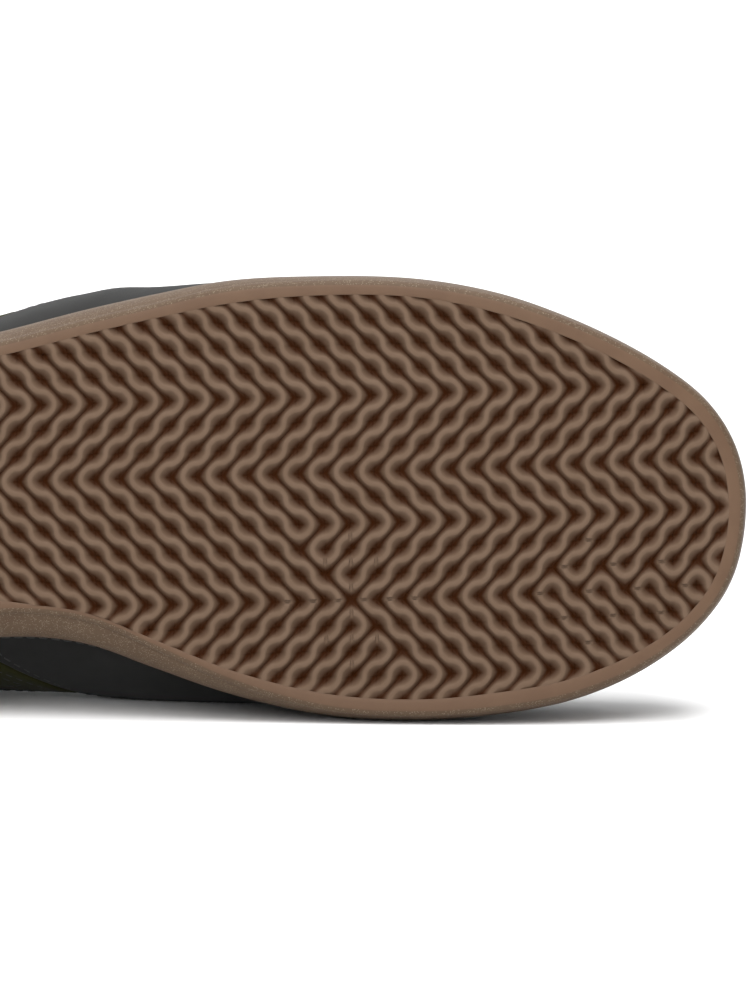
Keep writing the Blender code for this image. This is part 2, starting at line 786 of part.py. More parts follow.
def eyelet_places():
    """The eyelets in plan view, (x, distance from the middle), from the front pair to the top pair."""
    first = THROAT_FRONT - EYELET_FRONT
    last = THROAT_FRONT - THROAT_LENGTH + EYELET_END
    places = []
    for x in np.linspace(first, last, EYELET_PAIRS):
        edge = THROAT_WIDTH / 2 + THROAT_SPREAD * max(0.0, THROAT_FRONT - EYELET_FRONT - x)
        places.append((float(x), edge + EYELET_INSET))
    return places


def make_eyelets(home):
    """Rings on the eyestay, each square to the upper under it."""
    seat = bmesh.new()
    seat.from_mesh(lofted("eyelet_seat", [(last_form(FIT + OVERLAY + 2 * FIT), True)]))
    tree = BVHTree.FromBMesh(seat)
    seat.free()
    eyelets = []
    thickness = EYELET_THICKNESS / 2
    for number, (x, y) in enumerate(eyelet_places(), start=1):
        for side, label in ((-1, "lateral"), (1, "medial")):
            place, normal, _, _ = tree.ray_cast(Vector((x, side * y, FAR)), Vector((0, 0, -1)))
            bpy.ops.mesh.primitive_torus_add(
                major_radius=(EYELET_RADIUS + EYELET_HOLE) / 2,
                minor_radius=(EYELET_RADIUS - EYELET_HOLE) / 2,
                major_segments=EYELET_SEGMENTS,
                minor_segments=4,
            )
            ring = bpy.context.object
            flat = Matrix.Diagonal((1, 1, EYELET_THICKNESS / (EYELET_RADIUS - EYELET_HOLE), 1))
            turn = normal.to_track_quat("Z", "Y").to_matrix().to_4x4()
            ring.data.transform(Matrix.Translation(place + normal * thickness) @ turn @ flat)
            ring.name = f"eyelet_{label}_{number}"
            ring.data.materials.append(material(EYELET))
            for owner in ring.users_collection:
                owner.objects.unlink(ring)
            home.objects.link(ring)
            eyelets.append(ring)
    return eyelets


def make_lace_bars(home, cutters):
    """Flat lace bars from eyelet to eyelet, over the throat."""
    bars = []
    lift = FIT + OVERLAY + 2 * FIT + EYELET_THICKNESS + 2 * FIT
    for number, (x, y) in enumerate(eyelet_places(), start=1):
        bar = skin(f"lace_bar_{number}", lift, lift + LACE_THICKNESS, home, LACE)
        reach = y + EYELET_HOLE
        half = LACE_WIDTH / 2
        outline = [(x - half, -reach), (x + half, -reach), (x + half, reach), (x - half, reach)]
        shape = prism(f"lace_shape_{number}", outline, PLAN, OVERLAY_LOW, FAR, cutters.home)
        boolean(bar, shape, "INTERSECT")
        bars.append(bar)
    return bars


# Lying pose

MEDIAL_FACING = 0.7


def lay_down(parts, home, helpers):
    """Turns the upright shoe onto its medial side, so that sole edge and upper both touch the floor.

    The floor is the face of the parts' convex hull that lies under their centre.
    """
    bpy.context.view_layer.update()
    graph = bpy.context.evaluated_depsgraph_get()
    cloud = bmesh.new()
    weight = 0.0
    centre = Vector()
    for part in parts:
        mesh = part.evaluated_get(graph).to_mesh()
        mesh.calc_loop_triangles()
        for triangle in mesh.loop_triangles:
            a, b, c = (mesh.vertices[i].co for i in triangle.vertices)
            volume = a.dot(b.cross(c)) / 6
            weight += volume
            centre += volume * (a + b + c) / 4
        for vertex in mesh.vertices:
            cloud.verts.new(vertex.co)
        part.evaluated_get(graph).to_mesh_clear()
    centre /= weight
    hull = bmesh.ops.convex_hull(cloud, input=cloud.verts)
    faces = [f for f in hull["geom"] if isinstance(f, bmesh.types.BMFace)]
    floor = None
    for face in faces:
        normal = face.normal
        if normal.y < MEDIAL_FACING:
            continue
        a, b, c = (v.co for v in face.verts)
        drop = centre - normal * (centre - a).dot(normal)
        sides = [(q - p).cross(drop - p).dot(normal) for p, q in ((a, b), (b, c), (c, a))]
        if min(sides) >= 0:
            floor = normal.copy()
    cloud.free()
    down = Vector((0, 0, -1))
    turn = floor.rotation_difference(down).to_matrix().to_4x4()
    under = turn.to_3x3() @ Vector((0, 0, -1))
    face_camera = Matrix.Rotation(-math.pi / 2 - math.atan2(under.y, under.x), 4, "Z")
    turned = face_camera @ turn
    corners = []
    for part in parts:
        evaluated = part.evaluated_get(graph)
        corners += [turned @ Vector(v.co) for v in evaluated.to_mesh().vertices]
        evaluated.to_mesh_clear()
    low = [min(p[i] for p in corners) for i in range(3)]
    high = [max(p[i] for p in corners) for i in range(3)]
    shift = Matrix.Translation((-(low[0] + high[0]) / 2, -(low[1] + high[1]) / 2, -low[2]))
    pose = bpy.data.objects.new("lying_pose", None)
    home.objects.link(pose)
    for obj in [*parts, *helpers.objects]:
        obj.parent = pose
    pose.matrix_world = shift @ turned


def main():
    clear_scene()
    shoe = collection("skate_shoe")
    helpers = collection("cutters", shown=False)
    cutters = Cutters(helpers)
    parts = [
        make_outsole(shoe, helpers),
        make_insole(shoe),
        make_upper(shoe, cutters),
        make_collar(shoe, cutters),
        make_tongue(shoe, cutters),
        make_eyestay(shoe, cutters),
        make_toe_cap(shoe, cutters),
        make_counter(shoe, cutters),
        make_quarter("quarter_lateral", -1, shoe, cutters),
        make_quarter("quarter_medial", 1, shoe, cutters),
        *make_eyelets(shoe),
        *make_lace_bars(shoe, cutters),
    ]
    lay_down(parts, shoe, helpers)


main()
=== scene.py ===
"""Looks for a right skateboarding shoe that lies on its medial side, seen from under its sole.

The shoe is worked out upright, heel at x = 0, toe along +X, lateral side towards -Y and ground at z = 0, from
the same tables as its solids. Every mesh is then laid down into the row frame, where the shoe rests on its
medial side.
"""

from __future__ import annotations

import logging
import math
from collections.abc import Callable
from dataclasses import dataclass, field
from enum import Enum, IntEnum
from itertools import product
from typing import ClassVar

import bpy
import numpy as np
from mathutils import Matrix, Vector
from mathutils.bvhtree import BVHTree

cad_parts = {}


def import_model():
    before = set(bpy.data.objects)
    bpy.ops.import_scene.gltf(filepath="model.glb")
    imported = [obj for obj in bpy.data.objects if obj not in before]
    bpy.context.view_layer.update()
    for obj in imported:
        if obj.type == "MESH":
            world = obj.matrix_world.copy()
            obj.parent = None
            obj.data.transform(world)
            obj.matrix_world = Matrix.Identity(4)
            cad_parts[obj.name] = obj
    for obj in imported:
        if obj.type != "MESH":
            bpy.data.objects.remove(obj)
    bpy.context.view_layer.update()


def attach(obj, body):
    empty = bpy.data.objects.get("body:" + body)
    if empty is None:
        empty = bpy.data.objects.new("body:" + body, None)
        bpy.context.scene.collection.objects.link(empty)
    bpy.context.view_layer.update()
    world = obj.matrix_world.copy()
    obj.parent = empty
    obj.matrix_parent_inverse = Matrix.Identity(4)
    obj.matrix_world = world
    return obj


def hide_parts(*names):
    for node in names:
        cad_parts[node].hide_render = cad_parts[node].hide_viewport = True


LOG = logging.getLogger("skate_shoe")
MILLIMETRE = 0.001

# A distance that is larger than any on the shoe, and a length and a square of one that count as none
FAR_AWAY = 1.0
NO_LENGTH = 1e-12
NO_SQUARE = 1e-18

# How near to a line a point has to lie to be taken as on it
SNAP = 2e-6

# Points that are compared with an outline at a time, which keeps the arrays small
BATCH = 4096

# The pose in which the solids lie: upright coordinates to the row frame
LYING = Matrix(
    (
        (0.999956, 0.009387, 0.0, -0.149056),
        (0.000689, -0.073373, 0.997304, -0.054668),
        (0.009362, -0.997261, -0.073376, 0.053953),
        (0.0, 0.0, 0.0, 1.0),
    )
)


class Side(Enum):
    """The two sides of the shoe, by the sign of y."""

    LATERAL = -1
    MEDIAL = 1


class Gum(IntEnum):
    """The sole's three finishes, in the order of its materials."""

    TREAD = 0
    BAND = 1
    WALL = 2


# Curves


def smooth_curve(places: list[float], values: list[float]) -> Callable[[np.ndarray], np.ndarray]:
    """Makes a smooth function through given values.

    Args:
        places: Rising places of the values.
        values: One value for each place.

    Returns:
        A function that reads the curve at an array of places.
    """
    places_array = np.asarray(places, float)
    values_array = np.asarray(values, float)
    slopes = np.gradient(values_array, places_array)

    def read(at: np.ndarray) -> np.ndarray:
        """Reads the curve; outside the places it keeps the end values.

        Args:
            at: Where to read it.

        Returns:
            The values there.
        """
        at = np.clip(at, places_array[0], places_array[-1])
        i = np.clip(np.searchsorted(places_array, at) - 1, 0, len(places_array) - 2)
        width = places_array[i + 1] - places_array[i]
        t = (at - places_array[i]) / width
        rise = values_array[i + 1] - values_array[i]
        start = slopes[i] * width
        end = slopes[i + 1] * width
        return values_array[i] + t * (start + t * (3 * rise - 2 * start - end + t * (start + end - 2 * rise)))

    return read


def smooth_step(value: np.ndarray, low: float, high: float) -> np.ndarray:
    """Rises softly from 0 at `low` to 1 at `high`."""
    t = np.clip((value - low) / (high - low), 0, 1)
    return t * t * (3 - 2 * t)


def unit(vectors: np.ndarray) -> np.ndarray:
    """The directions of the vectors, each of length 1."""
    return vectors / np.maximum(np.linalg.norm(vectors, axis=-1, keepdims=True), NO_LENGTH)


def way_of(share: np.ndarray) -> np.ndarray:
    """The way along the rim, 0 at the heel and 1 at the toe tip, of a share of the length."""
    return np.arccos(1 - 2 * np.asarray(share, float)) / math.pi


def share_of(way: np.ndarray) -> np.ndarray:
    """The share of the length of a way along the rim."""
    return (1 - np.cos(math.pi * np.asarray(way, float))) / 2


def outline_distance(points: np.ndarray, outline: np.ndarray) -> np.ndarray:
    """Signed distance of plane points to a closed outline.

    Args:
        points: Points, one (a, b) a row.
        outline: Corners of the outline in order.

    Returns:
        The distance of each point, positive inside.
    """
    following = np.roll(outline, -1, axis=0)
    step = following - outline
    size = np.maximum(np.sum(step * step, axis=1), NO_SQUARE)
    rise = np.where(step[:, 1] == 0, NO_SQUARE, step[:, 1])
    found = np.empty(len(points))
    for first in range(0, len(points), BATCH):
        some = points[first : first + BATCH]
        away = some[:, None, :] - outline[None]
        t = np.clip(np.sum(away * step, axis=2) / size, 0, 1)
        gap = np.sum((away - t[:, :, None] * step) ** 2, axis=2)
        x, y = some[:, None, 0], some[:, None, 1]
        between = (y < outline[:, 1]) != (y < following[:, 1])
        crossing = outline[:, 0] + (y - outline[:, 1]) / rise * step[:, 0]
        inside = np.sum(between & (x < crossing), axis=1) % 2
        found[first : first + BATCH] = np.sqrt(gap.min(axis=1)) * np.where(inside == 1, 1, -1)
    return found


# The last: the form that sole and upper are built on


@dataclass(frozen=True)
class Section:
    """One section across the shoe, in shares.

    `at` is its share of the length from the heel. The two edges are shares of the ball width, the flares of
    the side flare, `wall` of the side wall's height, and the bulges of each side's own bulge.
    """

    at: float
    lateral: float
    medial: float
    flare_lateral: float
    flare_medial: float
    wall: float
    bulge_lateral: float
    bulge_medial: float


LENGTH = 0.298
BALL_WIDTH = 0.1101

SHOE_SECTIONS = (
    Section(0.0000, -0.1100, 0.1100, 0.25, 0.25, 1.00, 0.200, 0.070),
    Section(0.0101, 0.0440, 0.2540, 0.25, 0.25, 1.00, 0.200, 0.070),
    Section(0.0336, 0.1360, 0.3530, 0.25, 0.26, 1.00, 0.220, 0.060),
    Section(0.0772, 0.2180, 0.4400, 0.26, 0.28, 1.00, 0.280, 0.050),
    Section(0.1443, 0.2660, 0.4860, 0.28, 0.34, 0.99, 0.340, 0.050),
    Section(0.2282, 0.2960, 0.4220, 0.34, 0.56, 0.95, 0.560, 0.290),
    Section(0.3121, 0.3370, 0.3450, 0.42, 0.86, 0.91, 0.880, 0.765),
    Section(0.3758, 0.3760, 0.3160, 0.46, 1.00, 0.89, 0.970, 0.920),
    Section(0.4497, 0.4270, 0.3330, 0.47, 0.96, 0.87, 0.940, 0.885),
    Section(0.5000, 0.4570, 0.3815, 0.44, 0.78, 0.85, 0.700, 0.700),
    Section(0.5604, 0.4880, 0.4380, 0.32, 0.50, 0.83, 0.490, 0.415),
    Section(0.6409, 0.4995, 0.4880, 0.22, 0.26, 0.82, 0.240, 0.120),
    Section(0.7282, 0.4920, 0.5015, 0.20, 0.20, 0.82, 0.160, 0.020),
    Section(0.7886, 0.4630, 0.4890, 0.18, 0.18, 0.82, 0.140, 0.040),
    Section(0.8490, 0.4080, 0.4595, 0.16, 0.16, 0.82, 0.120, 0.050),
    Section(0.8893, 0.3590, 0.4205, 0.14, 0.14, 0.82, 0.110, 0.060),
    Section(0.9295, 0.2980, 0.3605, 0.13, 0.13, 0.82, 0.100, 0.060),
    Section(0.9664, 0.2200, 0.2740, 0.12, 0.12, 0.82, 0.090, 0.050),
    Section(0.9899, 0.1245, 0.1725, 0.12, 0.12, 0.82, 0.090, 0.050),
    Section(1.0000, -0.0110, 0.0110, 0.12, 0.12, 0.82, 0.090, 0.050),
)

# The last's top line: share of the length, and height from the toe (0) to the instep (1)
TOP_OF_LAST = (
    (0.12, 0.880),
    (0.20, 0.980),
    (0.28, 1.000),
    (0.36, 0.930),
    (0.44, 0.760),
    (0.52, 0.560),
    (0.60, 0.375),
    (0.68, 0.225),
    (0.76, 0.105),
    (0.82, 0.040),
    (0.88, 0.000),
)

# Lines in side view: share of the length, share of the heel height
COLLAR_LINE = (
    (-0.08, 1.04),
    (0.03, 1.02),
    (0.09, 0.97),
    (0.17, 0.86),
    (0.25, 0.81),
    (0.33, 0.84),
    (0.40, 0.96),
    (0.46, 1.13),
    (0.52, 1.34),
)
COUNTER_EDGE = (
    (-0.08, 0.84),
    (0.06, 0.83),
    (0.13, 0.77),
    (0.20, 0.68),
    (0.28, 0.64),
    (0.36, 0.65),
    (0.45, 0.67),
)

# The smooth band between tread and rim, in metres: share of the length, lateral width, medial width
MARGIN_BAND = (
    (0.000, 0.0050, 0.0050),
    (0.150, 0.0053, 0.0056),
    (0.300, 0.0061, 0.0084),
    (0.374, 0.0064, 0.0094),
    (0.410, 0.0065, 0.0081),
    (0.450, 0.0065, 0.0076),
    (0.500, 0.0064, 0.0071),
    (0.560, 0.0062, 0.0062),
    (0.630, 0.0053, 0.0057),
    (0.720, 0.0050, 0.0055),
    (0.800, 0.0053, 0.0057),
    (0.880, 0.0051, 0.0053),
    (0.940, 0.0051, 0.0048),
    (1.000, 0.0052, 0.0050),
)


@dataclass
class Form:
    """A surface as a grid of points, with its outward normals and the triangles between the points."""

    points: np.ndarray
    normals: np.ndarray
    faces: np.ndarray


@dataclass
class Last:
    """The upright shoe's own form, with the sizes of its solids, in metres."""

    length: float = LENGTH
    ball_width: float = BALL_WIDTH
    toe_height: float = 0.057
    instep_height: float = 0.118
    heel_height: float = 0.080
    side_wall: float = 0.031
    toe_spring: float = 0.011
    spring_reach: float = 0.080
    arch_rise: float = 0.0012
    arch_place: float = 0.38
    arch_reach: float = 0.14
    spine_inset: float = 0.036
    side_flare: float = 0.0060
    cup_wall: float = 0.0046
    cup_floor: float = 0.0125
    cup_floor_drop: float = 0.3
    cup_floor_place: float = 1 / 3
    fit: float = 0.0003
    lateral_bulge: float = 0.0119
    medial_bulge: float = 0.0218
    arch_inward: float = 0.72
    arch_upward: float = 0.92
    bulge_power: float = 1.1
    bulge_rise: float = 0.7
    throat_width: float = 0.327 * BALL_WIDTH
    throat_length: float = 0.248 * LENGTH
    throat_front: float = 0.691 * LENGTH
    throat_spread: float = 0.045
    throat_round: float = 0.8

    def __post_init__(self) -> None:
        """Reads the tables as curves."""
        ways = way_of(np.array([row.at for row in SHOE_SECTIONS]))

        def column(name: str) -> Callable[[np.ndarray], np.ndarray]:
            """One column of the section table as a curve."""
            return smooth_curve(ways, [getattr(row, name) for row in SHOE_SECTIONS])

        self.rim_curve = {Side.LATERAL: column("lateral"), Side.MEDIAL: column("medial")}
        self.flare_curve = {Side.LATERAL: column("flare_lateral"), Side.MEDIAL: column("flare_medial")}
        self.bulge_curve = {Side.LATERAL: column("bulge_lateral"), Side.MEDIAL: column("bulge_medial")}
        self.wall_curve = column("wall")
        self.crest_curve = smooth_curve(*zip(*TOP_OF_LAST))
        self.collar = self.side_line(COLLAR_LINE)
        self.counter = self.side_line(COUNTER_EDGE)
        band = [way_of(np.array([row[0]]))[0] for row in MARGIN_BAND]
        self.band_curve = {
            Side.LATERAL: smooth_curve(band, [row[1] for row in MARGIN_BAND]),
            Side.MEDIAL: smooth_curve(band, [row[2] for row in MARGIN_BAND]),
        }

    def side_line(self, table: tuple) -> Callable[[np.ndarray], np.ndarray]:
        """A line in side view, height against x."""
        places = [at * self.length for at, _ in table]
        return smooth_curve(places, [rise * self.heel_height for _, rise in table])

    def bottom(self, x: np.ndarray) -> np.ndarray:
        """Height of the sole's underside.

        Args:
            x: Places along the shoe.

        Returns:
            The height at each.
        """
        share = np.asarray(x, float) / self.length
        along = np.clip((share - self.arch_place) / self.arch_reach, -1, 1)
        arch = self.arch_rise * (1 + np.cos(math.pi * along)) / 2
        spring = np.clip((x - (self.length - self.spring_reach)) / self.spring_reach, 0, 1) ** 2
        return arch + self.toe_spring * spring

    def lip(self, x: np.ndarray) -> np.ndarray:
        """Height of the cup's upper edge."""
        way = way_of(np.clip(np.asarray(x, float) / self.length, 0, 1))
        return self.bottom(x) + self.side_wall * self.wall_curve(way)

    def floor(self, x: np.ndarray) -> np.ndarray:
        """Height of the cup's inner floor."""
        share = np.clip(np.asarray(x, float) / self.length, 0, 1)
        return self.bottom(x) + self.cup_floor * (1 - self.cup_floor_drop * (share - self.cup_floor_place))

    def by_side(self, curves: dict, ways: np.ndarray, sides: np.ndarray) -> np.ndarray:
        """Reads the curve of each point's own side."""
        return np.where(sides < 0, curves[Side.LATERAL](ways), curves[Side.MEDIAL](ways))

    def rim(self, ways: np.ndarray, sides: np.ndarray) -> np.ndarray:
        """The rim in plan view; past heel and toe it goes on along the other side.

        Args:
            ways: Ways along the rim, 0 at the heel and 1 at the toe tip.
            sides: -1 on the lateral side, 1 on the medial side.

        Returns:
            Plane points.
        """
        beyond = (ways < 0) | (ways > 1)
        sides = np.where(beyond, -sides, sides)
        ways = np.where(ways < 0, -ways, np.where(ways > 1, 2 - ways, ways))
        aside = sides * self.ball_width * self.by_side(self.rim_curve, ways, sides)
        return np.column_stack([self.length * share_of(ways), aside])

    def rim_normals(self, ways: np.ndarray, sides: np.ndarray) -> np.ndarray:
        """The outward direction of the rim in plan view.

        Args:
            ways: The places' ways from heel to toe.
            sides: The places' sides.

        Returns:
            A direction for each place.
        """
        step = 1e-3
        along = self.rim(ways + step, sides) - self.rim(ways - step, sides)
        return unit(sides[:, None] * np.column_stack([-along[:, 1], along[:, 0]]))


@dataclass
class Ring:
    """Places round the shoe: the lateral side from heel to toe, then the medial side back to the heel."""

    last: Last
    count: int

    def __post_init__(self) -> None:
        """Works out the rim at every place."""
        ways = np.linspace(0, 1, self.count)
        self.ways = np.concatenate([ways, ways[-2:0:-1]])
        self.sides = np.concatenate([-np.ones(self.count), np.ones(self.count - 2)])
        self.rim = self.last.rim(self.ways, self.sides)
        self.out = self.last.rim_normals(self.ways, self.sides)
        self.flare = self.last.side_flare * self.last.by_side(self.last.flare_curve, self.ways, self.sides)
        self.band = self.last.by_side(self.last.band_curve, self.ways, self.sides)
        sizes = np.where(self.sides < 0, self.last.lateral_bulge, self.last.medial_bulge)
        self.bulge = sizes * self.last.by_side(self.last.bulge_curve, self.ways, self.sides)

    def plan(self, inset: np.ndarray | float) -> np.ndarray:
        """The ring in plan view, inside the rim by `inset`."""
        return self.rim - self.out * np.broadcast_to(inset, len(self.ways))[:, None]

    def at(self, inset: np.ndarray | float, height: Callable[[np.ndarray], np.ndarray]) -> np.ndarray:
        """The ring inside the rim by `inset`, at the heights that `height` gives along the shoe."""
        plan = self.plan(inset)
        return np.column_stack([plan, height(plan[:, 0])])


def grid_faces(rows: int, columns: int, wrap: bool) -> np.ndarray:
    """Triangles of a grid of points that are numbered row by row.

    Args:
        rows: How many rows it has.
        columns: How many points a row has.
        wrap: Whether each row closes on itself.

    Returns:
        The triangles.
    """
    row, left = np.meshgrid(np.arange(rows - 1), np.arange(columns if wrap else columns - 1), indexing="ij")
    right = (left + 1) % columns
    a, b = row * columns + left, row * columns + right
    d, c = a + columns, b + columns
    return np.concatenate([np.stack([a, b, c], -1).reshape(-1, 3), np.stack([a, c, d], -1).reshape(-1, 3)])


def filled(ring: Ring, edge: np.ndarray, rows: int) -> tuple[np.ndarray, np.ndarray]:
    """A surface that fills a ring, with rows along the shoe from its lateral to its medial side.

    Args:
        ring: Places round the shoe.
        edge: The ring's points.
        rows: How many rows of points the surface has.

    Returns:
        Points and triangles.
    """
    other = (len(edge) - np.arange(ring.count)) % len(edge)
    near, far = edge[: ring.count], edge[other]
    points = np.vstack([near * (1 - t) + far * t for t in np.linspace(0, 1, rows)])
    return points, grid_faces(rows, ring.count, False)


@dataclass
class Skin:
    """The upper's outer face as a fine grid from the cup's floor up to the top line."""

    last: Last
    around: int = 200
    upward: int = 56

    def build(self) -> Form:
        """Makes the grid.

        Returns:
            The form: points, outward normals and triangles, upright.
        """
        last = self.last
        ring = Ring(last, self.around)
        foot = ring.at(last.cup_wall + last.fit, lambda x: last.floor(x) + last.fit)
        base = ring.at(last.cup_wall + last.fit, lambda x: last.lip(x) + last.fit)
        x = last.spine_inset + (last.length - 2 * last.spine_inset) * share_of(ring.ways)
        lateral, medial = (last.rim_curve[side](ring.ways) for side in Side)
        middle = last.ball_width * (medial - lateral) / 2
        top = last.toe_height + (last.instep_height - last.toe_height) * last.crest_curve(x / last.length)
        crest = np.column_stack([x, middle, top])
        rings = [foot, base]
        for step in range(1, self.upward + 1):
            angle = math.pi / 2 * step / self.upward
            inward = math.cos(angle) ** last.arch_inward if step < self.upward else 0.0
            upward = math.sin(angle) ** last.arch_upward
            form = crest + (base - crest) * np.array([inward, inward, 1 - upward])
            swell = max(0.0, math.sin(math.pi * upward**last.bulge_rise)) ** last.bulge_power
            form[:, :2] += ring.out * (ring.bulge * swell)[:, None]
            rings.append(form)
        grid = np.array(rings)
        normals = self.normals(grid, ring)
        return Form(grid.reshape(-1, 3), normals.reshape(-1, 3), grid_faces(len(rings), len(ring.ways), True))

    def normals(self, grid: np.ndarray, ring: Ring) -> np.ndarray:
        """Outward normals of the grid; along the top line both sides share one.

        Args:
            grid: The skin's points, one ring a row.
            ring: Places round the shoe.

        Returns:
            A normal for each point.
        """
        around = np.roll(grid, -1, axis=1) - np.roll(grid, 1, axis=1)
        up = np.gradient(grid, axis=0)
        up[:2] = (0, 0, 1)
        toe = self.around - 1
        around[-1, [0, toe]] = (0, 1, 0)
        up[-1, 0] = (1, 0, 0)
        up[-1, toe] = (-1, 0, 0)
        normals = np.cross(around, up)
        normals[-1] *= np.where(normals[-1, :, 2:] < 0, -1, 1)
        middle = self.around // 2
        normals[:-1] *= np.sign(np.sum(normals[1, middle, :2] * ring.out[middle]))
        normals = unit(normals)
        count = len(ring.ways)
        normals[-1] += normals[-1][(count - np.arange(count)) % count]
        normals[-1] = unit(normals[-1])
        return normals


# Cutting surfaces along lines


def cut(
    values: np.ndarray, faces: np.ndarray, measure: np.ndarray
) -> tuple[np.ndarray, np.ndarray, np.ndarray]:
    """Splits the triangles that cross measure = 0, so that none does.

    Args:
        values: What each point carries, one row a point; new points get values in between.
        faces: Triangles.
        measure: A number for each point.

    Returns:
        The values, triangles and measures with the new points.
    """
    side = measure[faces] > 0
    count = side.sum(axis=1)
    mixed = (count == 1) | (count == 2)
    made: dict[tuple[int, int], int] = {}
    extra: list[np.ndarray] = []

    def between(i: int, j: int) -> int:
        """The point where an edge crosses the line, made once.

        Args:
            i: One end of the edge.
            j: The other end.

        Returns:
            The point's number.
        """
        key = (min(i, j), max(i, j))
        if key not in made:
            t = measure[key[0]] / (measure[key[0]] - measure[key[1]])
            made[key] = len(values) + len(extra)
            extra.append(values[key[0]] + (values[key[1]] - values[key[0]]) * t)
        return made[key]

    split = []
    for face, inside in zip(faces[mixed].tolist(), side[mixed].tolist()):
        lone = inside.index(sum(inside) == 1)
        a, b, c = face[lone], face[(lone + 1) % 3], face[(lone + 2) % 3]
        ab, ac = between(a, b), between(a, c)
        split += [(a, ab, ac), (ab, b, c), (ab, c, ac)]
    if not split:
        return values, faces, measure
    return (
        np.vstack([values, extra]),
        np.vstack([faces[~mixed], split]),
        np.concatenate([measure, np.zeros(len(extra))]),
    )


def keep_inside(
    values: np.ndarray, faces: np.ndarray, measure: np.ndarray
) -> tuple[np.ndarray, np.ndarray, np.ndarray]:
    """Drops the triangles outside measure = 0, after a cut there, and the points that no triangle uses.

    Args:
        values: What each point carries.
        faces: Triangles.
        measure: A number for each point.

    Returns:
        The values, triangles and measures that are left.
    """
    kept = faces[measure[faces].mean(axis=1) > 0]
    used, numbered = np.unique(kept, return_inverse=True)
    return values[used], numbered.reshape(-1, 3), measure[used]


def open_edges(faces: np.ndarray) -> np.ndarray:
    """The edges that only one triangle uses, in that triangle's direction.

    Args:
        faces: Triangles.

    Returns:
        The edges, two points a row.
    """
    edges = faces[:, [0, 1, 1, 2, 2, 0]].reshape(-1, 2)
    keys = np.sort(edges, axis=1)
    _, first, count = np.unique(keys, axis=0, return_index=True, return_counts=True)
    return edges[first[count == 1]]


# Finishes


class Nodes:
    """Builds the node tree of one material or group."""

    # The sockets of a colour mix node: share, first and second colour, and the result
    MIX_INPUTS = (0, 6, 7)
    MIX_RESULT = 2

    def __init__(self, tree: bpy.types.NodeTree) -> None:
        """Starts on an existing tree."""
        self.tree = tree

    def add(self, kind: str, **settings: object) -> bpy.types.Node:
        """Adds a node.

        Args:
            kind: The node's type.
            settings: Its properties by name, or its inputs where no property has that name.

        Returns:
            The new node.
        """
        node = self.tree.nodes.new(kind)
        for name, value in settings.items():
            if hasattr(node, name):
                setattr(node, name, value)
            else:
                self.put(node.inputs[name.replace("_", " ")], value)
        return node

    def put(self, socket: bpy.types.NodeSocket, value: object) -> None:
        """Sets a socket to a value, or links an output to it.

        Args:
            socket: An input, or a group's output.
            value: A number, a colour or an output.
        """
        if isinstance(value, bpy.types.NodeSocket):
            self.tree.links.new(value, socket)
        else:
            socket.default_value = value

    def maths(self, operation: str, *values: object) -> bpy.types.NodeSocket:
        """One sum of numbers or sockets.

        Args:
            operation: What the sum does.
            values: Its numbers, or sockets that give them.

        Returns:
            The result's socket.
        """
        node = self.tree.nodes.new("ShaderNodeMath")
        node.operation = operation
        for socket, value in zip(node.inputs, values):
            self.put(socket, value)
        return node.outputs[0]

    def blend(self, share: object, one: object, two: object) -> bpy.types.NodeSocket:
        """A colour between two.

        Args:
            share: How much of the second colour, 0 to 1.
            one: The first colour.
            two: The second colour.

        Returns:
            The result's socket.
        """
        node = self.tree.nodes.new("ShaderNodeMix")
        node.data_type = "RGBA"
        for number, value in zip(self.MIX_INPUTS, (share, one, two)):
            self.put(node.inputs[number], value)
        return node.outputs[self.MIX_RESULT]

    def remap(self, value: object, low: float, high: float) -> bpy.types.NodeSocket:
        """A number moved from a range to 0 to 1, kept inside it.

        Args:
            value: The number or its socket.
            low: What becomes 0.
            high: What becomes 1.

        Returns:
            The result's socket.
        """
        node = self.tree.nodes.new("ShaderNodeMapRange")
        for socket, item in zip(node.inputs, (value, low, high)):
            self.put(socket, item)
        return node.outputs[0]


def shared_group(
    name: str, inputs: dict[str, float], outputs: tuple[str, ...]
) -> tuple[bpy.types.NodeTree, Nodes, dict, dict]:
    """Starts a shader node group with named number inputs and outputs.

    Args:
        name: The group's name.
        inputs: Input names and default values.
        outputs: Output names.

    Returns:
        The group, a builder for it, its input sockets by name and the sockets its results go to by name.
    """
    tree = bpy.data.node_groups.new(name, "ShaderNodeTree")
    for label, value in inputs.items():
        tree.interface.new_socket(label, in_out="INPUT", socket_type="NodeSocketFloat").default_value = value
    for label in outputs:
        tree.interface.new_socket(label, in_out="OUTPUT", socket_type="NodeSocketFloat")
    nodes = Nodes(tree)
    source = nodes.add("NodeGroupInput")
    result = nodes.add("NodeGroupOutput")
    given = {label: source.outputs[label] for label in inputs}
    return tree, nodes, given, {label: result.inputs[label] for label in outputs}


